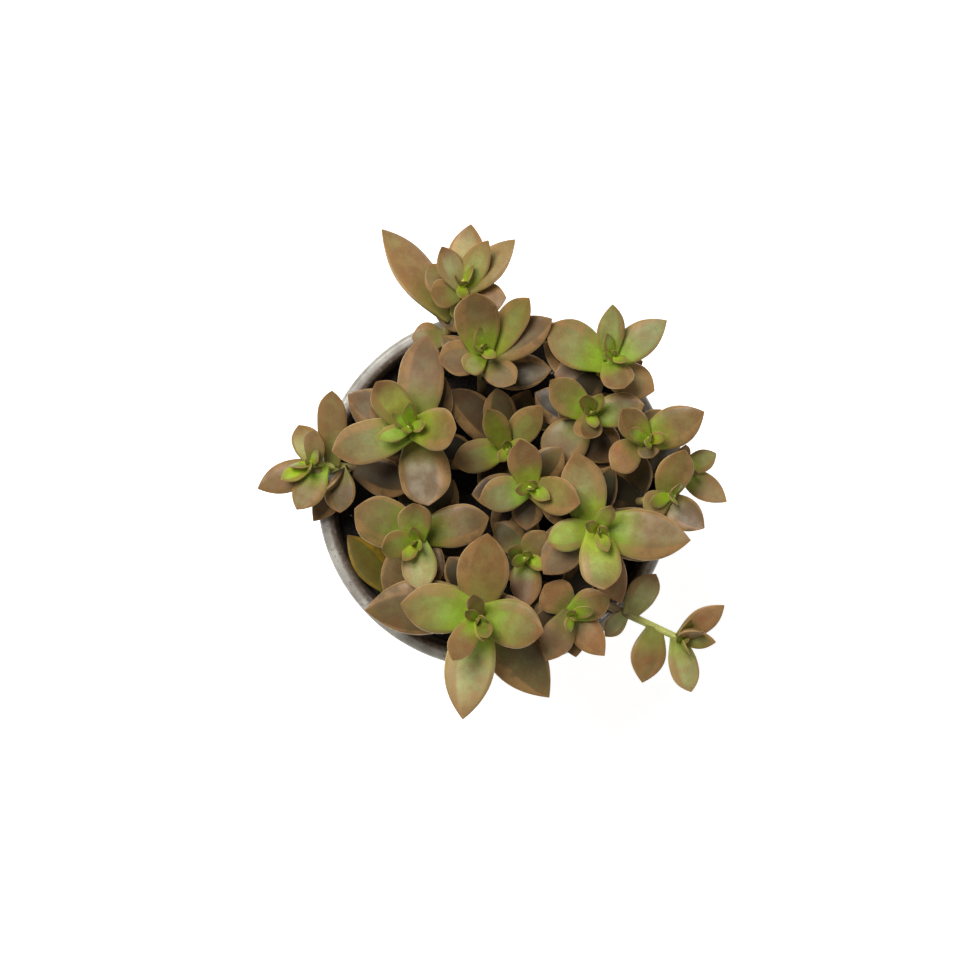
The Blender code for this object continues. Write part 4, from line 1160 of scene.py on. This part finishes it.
def new_group(name, inputs, outputs):
    """A node group's tree with its named sockets, and its input and output nodes."""
    tree = bpy.data.node_groups.new(name, "ShaderNodeTree")
    for way, sockets in (("INPUT", inputs), ("OUTPUT", outputs)):
        for socket, kind in sockets.items():
            tree.interface.new_socket(socket, in_out=way, socket_type="NodeSocket" + kind)
    return tree, tree.nodes.new("NodeGroupInput").outputs, tree.nodes.new("NodeGroupOutput").inputs


def placed(tree, group, **inputs):
    """The outputs of a node group that is placed in a material, with its inputs set."""
    return add(tree, "ShaderNodeGroup", {"node_tree": group}, **inputs).outputs


def mottle_group():
    """Soft blotches and fine grains of a living skin: brightness and height, and where its patches lie."""
    tree, given, out = new_group(
        "mottle",
        {"Place": "Vector", "Blotch": "Float", "Grain": "Float"},
        {"Brightness": "Float", "Height": "Float", "Patch": "Float", "Warmth": "Float", "Coolness": "Float"},
    )
    patch = noise(tree, given["Place"], scale=0.28, detail=3.0, rough=0.55)[0]
    grain = noise(tree, given["Place"], scale=2.6, detail=2.0, rough=0.5)[0]
    soft = product(tree, math_of(tree, "SUBTRACT", patch, 0.5), given["Blotch"])
    fine = product(tree, math_of(tree, "SUBTRACT", grain, 0.5), given["Grain"])
    height = math_of(tree, "ADD", product(tree, patch, 0.6), product(tree, grain, 0.4))
    warm, cool, _ = split(tree, noise(tree, given["Place"], scale=0.17, detail=4.0, rough=0.6)[1])
    feed(tree, out["Brightness"], math_of(tree, "ADD", 1.0, math_of(tree, "ADD", soft, fine)))
    feed(tree, out["Height"], height)
    feed(tree, out["Patch"], patch)
    feed(tree, out["Warmth"], eased(tree, warm, *WARM_PATCHES))
    feed(tree, out["Coolness"], eased(tree, cool, *COOL_PATCHES))
    return tree


def leaf_skin_group():
    """A leaf's colour: painted sheen, warm and cool patches, tan edges with a painted lit side, a pale
    margin with a painted highlight, a warm tip and painted shade on its underside.
    """
    tree, given, out = new_group(
        "leaf_skin",
        {"Own": "Color", "Shape": "Vector", "Patch": "Float", "Warmth": "Float", "Coolness": "Float",
         "Side": "Color", "Margin": "Color", "Shadow": "Color"},
        {"Colour": "Color"},
    )
    along, across, under = split(tree, given["Shape"])
    edge = math_of(tree, "ABSOLUTE", across)
    away_from_base = eased(tree, along, *CLEAR_OF_BASE)
    # Painted sheen: pale patches in the middle of the leaf
    painted_sheen = product(tree, eased(tree, edge, *MIDDLE_BAND), eased(tree, given["Patch"], *PAINTED_SHEEN_PATCHES))
    warm = product(tree, given["Warmth"], away_from_base, PATCH_STRENGTH)
    cool = product(tree, given["Coolness"], PATCH_STRENGTH)
    # Tan edges in the leaf's own colour, and a band of painted light on one side
    band = math_of(tree, "MAXIMUM", eased(tree, edge, *EDGE_BAND), eased(tree, across, *PAINTED_LIGHT_BAND))
    side = product(tree, band, away_from_base, eased(tree, given["Patch"], *SIDE_PATCHES))
    # A pale margin line: the leaf's thin edge, partly a painted highlight
    margin_and_highlight = product(tree, eased(tree, edge, *PALE_MARGIN_AND_HIGHLIGHT), away_from_base, MARGIN_STRENGTH)
    tip = product(tree, eased(tree, along, *TIP_BLUSH), TIP_STRENGTH)
    colour = given["Own"]
    for share, gain in ((painted_sheen, PAINTED_SHEEN_GAIN), (warm, WARM_GAIN), (cool, COOL_GAIN)):
        colour = blended(tree, share, colour, gain, "MULTIPLY")
    for share, over in ((side, given["Side"]), (margin_and_highlight, given["Margin"]), (tip, colour_of(RUSSET)),
                        (product(tree, under, SHADOW_STRENGTH), given["Shadow"])):
        colour = blended(tree, share, colour, over)
    feed(tree, out["Colour"], colour)
    return tree


def loose_grain_group():
    """Rough loose grains in fine patches, as the share of their lighter colour and a height."""
    tree, given, out = new_group("loose_grain", {"Place": "Vector", "Scale": "Float"},
                                 {"Lightness": "Float", "Height": "Float"})
    patch = noise(tree, given["Place"], scale=given["Scale"], detail=5.0, rough=0.65)[0]
    feed(tree, out["Lightness"], eased(tree, patch, 0.35, 0.68))
    feed(tree, out["Height"], patch)
    return tree


def new_material(name):
    material = bpy.data.materials.new(name)
    material.use_nodes = True
    return material, material.node_tree, material.node_tree.nodes["Principled BSDF"]


def finish_surface(tree, shader, colour, roughness, height, strength, depth):
    """Gives the shader its colour, its roughness and the small bumps of its surface."""
    bump = add(tree, "ShaderNodeBump", Strength=strength, Distance=depth, Height=height)
    feed(tree, shader.inputs["Base Color"], colour)
    feed(tree, shader.inputs["Roughness"], roughness)
    feed(tree, shader.inputs["Normal"], bump.outputs[0])


def leaf_material(name, mottle, leaf_skin, side, margin_and_highlight, shadow, gloss):
    """A fleshy leaf, whose mesh gives its colour (painted shade on the deep leaves) and the places on it
    that its skin follows.
    """
    material, tree, shader = new_material(name)
    own = attribute(tree, "leaf_colour", "Color")
    shape = attribute(tree, "leaf_shape", "Vector")
    spots = placed(tree, mottle, Place=attribute(tree, "leaf_place", "Vector"), Blotch=0.6, Grain=0.45)
    skin_colour = placed(
        tree, leaf_skin, Own=own, Shape=shape,
        Patch=spots["Patch"], Warmth=spots["Warmth"], Coolness=spots["Coolness"],
        Side=colour_of(side), Margin=colour_of(margin_and_highlight), Shadow=colour_of(shadow),
    )["Colour"]
    colour = blended(tree, 1.0, skin_colour, spots["Brightness"], "MULTIPLY")
    roughness = eased(tree, spots["Patch"], 0.3, 0.7, gloss + 0.1, gloss - 0.06)
    finish_surface(tree, shader, colour, roughness, spots["Height"], strength=0.25, depth=0.4 * MM)
    shader.inputs["Subsurface Weight"].default_value = 0.12
    shader.inputs["Subsurface Radius"].default_value = (1.0, 0.7, 0.25)
    shader.inputs["Subsurface Scale"].default_value = 1.2 * MM
    shader.inputs["Specular IOR Level"].default_value = 0.22
    return material


def stalk_material(mottle):
    """A fleshy green stem that turns brown and barky towards the soil."""
    material, tree, shader = new_material("stalk")
    place = object_place(tree)
    in_mm = add(tree, "ShaderNodeVectorMath", {"operation": "SCALE"}, Vector=place, Scale=1 / MM).outputs[0]
    height = attribute(tree, "up_the_stem", "Fac")
    spots = placed(tree, mottle, Place=in_mm, Blotch=0.8, Grain=0.5)
    colour = blended(tree, eased(tree, height, 0.5, 0.72), colour_of(BARK), colour_of(STALK_GREEN))
    colour = blended(tree, 1.0, colour, spots["Brightness"], "MULTIPLY")
    finish_surface(tree, shader, colour, 0.55, spots["Height"], strength=0.5, depth=0.3 * MM)
    return material


def pot_inner_darkening(tree, radius, z, speck):
    """How much darker the pot is: on the inside of its wall, and on its lip where it turns inward."""
    flare = (NECK_RADIUS - FOOT_RADIUS) / (POT_HEIGHT - LIP_DROP)
    wall_middle = math_of(tree, "ADD", FOOT_RADIUS - 0.5 * WALL, product(tree, z, flare))
    from_middle = math_of(tree, "SUBTRACT", radius, wall_middle)
    inward = eased(tree, from_middle, 0.45 * WALL, -0.2 * WALL)
    on_the_wall = product(tree, inward, eased(tree, z, 0.02, 0.03))
    on_the_lip = product(tree, eased(tree, radius, 0.0489, 0.0479), eased(tree, z, 0.08, 0.082))
    darkened = math_of(tree, "MAXIMUM", on_the_wall, on_the_lip)
    return product(tree, darkened, eased(tree, speck, 0.3, 0.62, 0.65, 1.0))


def pot_material():
    """Grey moulded plastic, scuffed and streaked round the lip and darker on the inside and on the lip's
    inward turn.
    """
    material, tree, shader = new_material("grey_pot_plastic")
    place = object_place(tree)
    x, y, z = split(tree, place)
    radius = math_of(tree, "SQRT", math_of(tree, "ADD", product(tree, x, x), product(tree, y, y)))
    blotch = noise(tree, place, scale=140.0, detail=4.0, rough=0.6)[0]
    speck = noise(tree, place, scale=900.0, detail=3.0, rough=0.7)[0]
    scuffs = product(tree, eased(tree, blotch, 0.35, 0.7), eased(tree, z, 0.07, 0.08, 0.25, 1.0))
    flecks = product(tree, eased(tree, speck, 0.57, 0.67), eased(tree, z, 0.08, 0.084), 0.6)
    colour = blended(tree, scuffs, colour_of(POT_GREY), colour_of(SCUFF_GREY))
    colour = blended(tree, pot_inner_darkening(tree, radius, z, speck), colour, colour_of(INNER_DARK))
    colour = blended(tree, flecks, colour, colour_of(SOIL_FLECK))
    roughness = eased(tree, blotch, 0.3, 0.7, 0.26, 0.42)
    finish_surface(tree, shader, colour, roughness, speck, strength=0.2, depth=0.3 * MM)
    return material


def grain_material(name, loose_grain, light, dark, scale, rough):
    """Rough loose grains of two colours."""
    material, tree, shader = new_material(name)
    grains = placed(tree, loose_grain, Place=object_place(tree), Scale=scale)
    colour = blended(tree, grains["Lightness"], colour_of(dark), colour_of(light))
    roughness = eased(tree, grains["Height"], 0.3, 0.7, rough - 0.1, rough)
    finish_surface(tree, shader, colour, roughness, grains["Height"], strength=0.7, depth=0.5 * MM)
    return material


# The studio. A light is its place, its side in metres and its power in watts.

PHOTO_WIDTH_PX = 980
RIM_RADIUS_PX = 178.5
POT_AXIS_PX = (495.1, 490.4)
CAMERA_OVER_RIM = 0.7
KEY_LIGHT = ((-0.34, 0.42, 1.0), 0.5, 13)
FILL_LIGHT = ((0.6, -0.3, 0.8), 0.8, 1.2)
WHITE = (1, 1, 1, 1)
SKY_STRENGTH = 0.2
FLOOR_COLOUR = (0.9, 0.9, 0.9, 1)
FLOOR_GLOW = 0.72
FLOOR_REACH = 3.0


def make_camera():
    """Straight above the pot, placed so that the rim's circle lies where the photograph has it."""
    metres_per_px = RIM_RADIUS / RIM_RADIUS_PX
    middle = PHOTO_WIDTH_PX / 2
    camera = bpy.data.cameras.new("camera")
    camera.lens = camera.sensor_width * CAMERA_OVER_RIM / (PHOTO_WIDTH_PX * metres_per_px)
    obj = linked("camera", camera)
    obj.location = ((middle - POT_AXIS_PX[0]) * metres_per_px, (POT_AXIS_PX[1] - middle) * metres_per_px,
                    POT_HEIGHT + CAMERA_OVER_RIM)
    bpy.context.scene.camera = obj


def make_light(name, place, side, power):
    """A square soft light that faces the plant."""
    lamp = bpy.data.lights.new(name, "AREA")
    lamp.size, lamp.energy = side, power
    obj = linked(name, lamp)
    obj.location = place
    obj.rotation_euler = (Vector((0, 0, POT_HEIGHT)) - Vector(place)).to_track_quat("-Z", "Y").to_euler()


def make_studio():
    world = bpy.data.worlds.new("studio")
    world.use_nodes = True
    bpy.context.scene.world = world
    world.node_tree.nodes["Background"].inputs["Color"].default_value = WHITE
    world.node_tree.nodes["Background"].inputs["Strength"].default_value = SKY_STRENGTH
    make_light("key_light", *KEY_LIGHT)
    make_light("fill_light", *FILL_LIGHT)
    material, _, shader = new_material("pale_floor")
    shader.inputs["Base Color"].default_value = FLOOR_COLOUR
    shader.inputs["Roughness"].default_value = 0.9
    shader.inputs["Emission Color"].default_value = WHITE
    shader.inputs["Emission Strength"].default_value = FLOOR_GLOW
    corners = [(x * FLOOR_REACH, y * FLOOR_REACH, 0) for x, y in ((-1, -1), (1, -1), (1, 1), (-1, 1))]
    make_piece("floor", corners, [(0, 1, 2, 3)], material)
    bpy.context.scene.view_settings.view_transform = "Standard"


def dress(obj, slot, *nodes):
    """Puts a piece on the one body and hides the CAD nodes that it stands for; its slot is not used."""
    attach(obj, "root")
    if nodes:
        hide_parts(*nodes)


def make_pot_and_soil(dice):
    """The pot, its soil, and the crumbs and grains that lie on it."""
    dress(make_pot(pot_material()), "grey_plastic", "pot")
    loose_grain = loose_grain_group()
    earth = grain_material("potting_soil", loose_grain, *EARTH)
    crumb = grain_material("soil_crumbs", loose_grain, *CRUMB)
    perlite = grain_material("perlite", loose_grain, *PERLITE)
    dress(make_soil(earth), "potting_soil", "soil")
    crumbs = scatter("crumbs_on_soil", CRUMBS, CRUMB_SIZES, CRUMB_SINK, crumb, dice)
    dress(crumbs, "potting_soil")
    grains = scatter("perlite_grains", PERLITE_GRAINS, PERLITE_SIZES, PERLITE_SINK, perlite, dice)
    dress(grains, "potting_soil")


def make_plant(dice):
    """Every rosette with its stem, and the dropped leaf."""
    mottle, leaf_skin = mottle_group(), leaf_skin_group()
    living = leaf_material("living_leaf", mottle, leaf_skin, *LIVING_LEAF)
    fallen = leaf_material("fallen_leaf", mottle, leaf_skin, *FALLEN_LEAF)
    stalk = stalk_material(mottle)
    lines, leaves = lay_out_plant()
    leaves = settle(leaves, lines)
    for name, line in lines.items():
        _, axis = stem_line(*ROSETTES[name][:2])
        own = [leaf for leaf in leaves if leaf["stem"] == name]
        dress(make_leaves("leaves_" + name, own, living, dice), "bronze_leaf", "stem_" + name)
        dress(make_stalk("stalk_" + name, line, axis, stalk), "bronze_leaf")
    dropped = [leaf for leaf in leaves if leaf["kind"] == "old"]
    dress(make_leaves("dropped_leaf", dropped, fallen, dice), "yellow_leaf", "old_leaf")


make_camera()
make_studio()
dice = np.random.default_rng(SEED)
make_pot_and_soil(dice)
make_plant(dice)
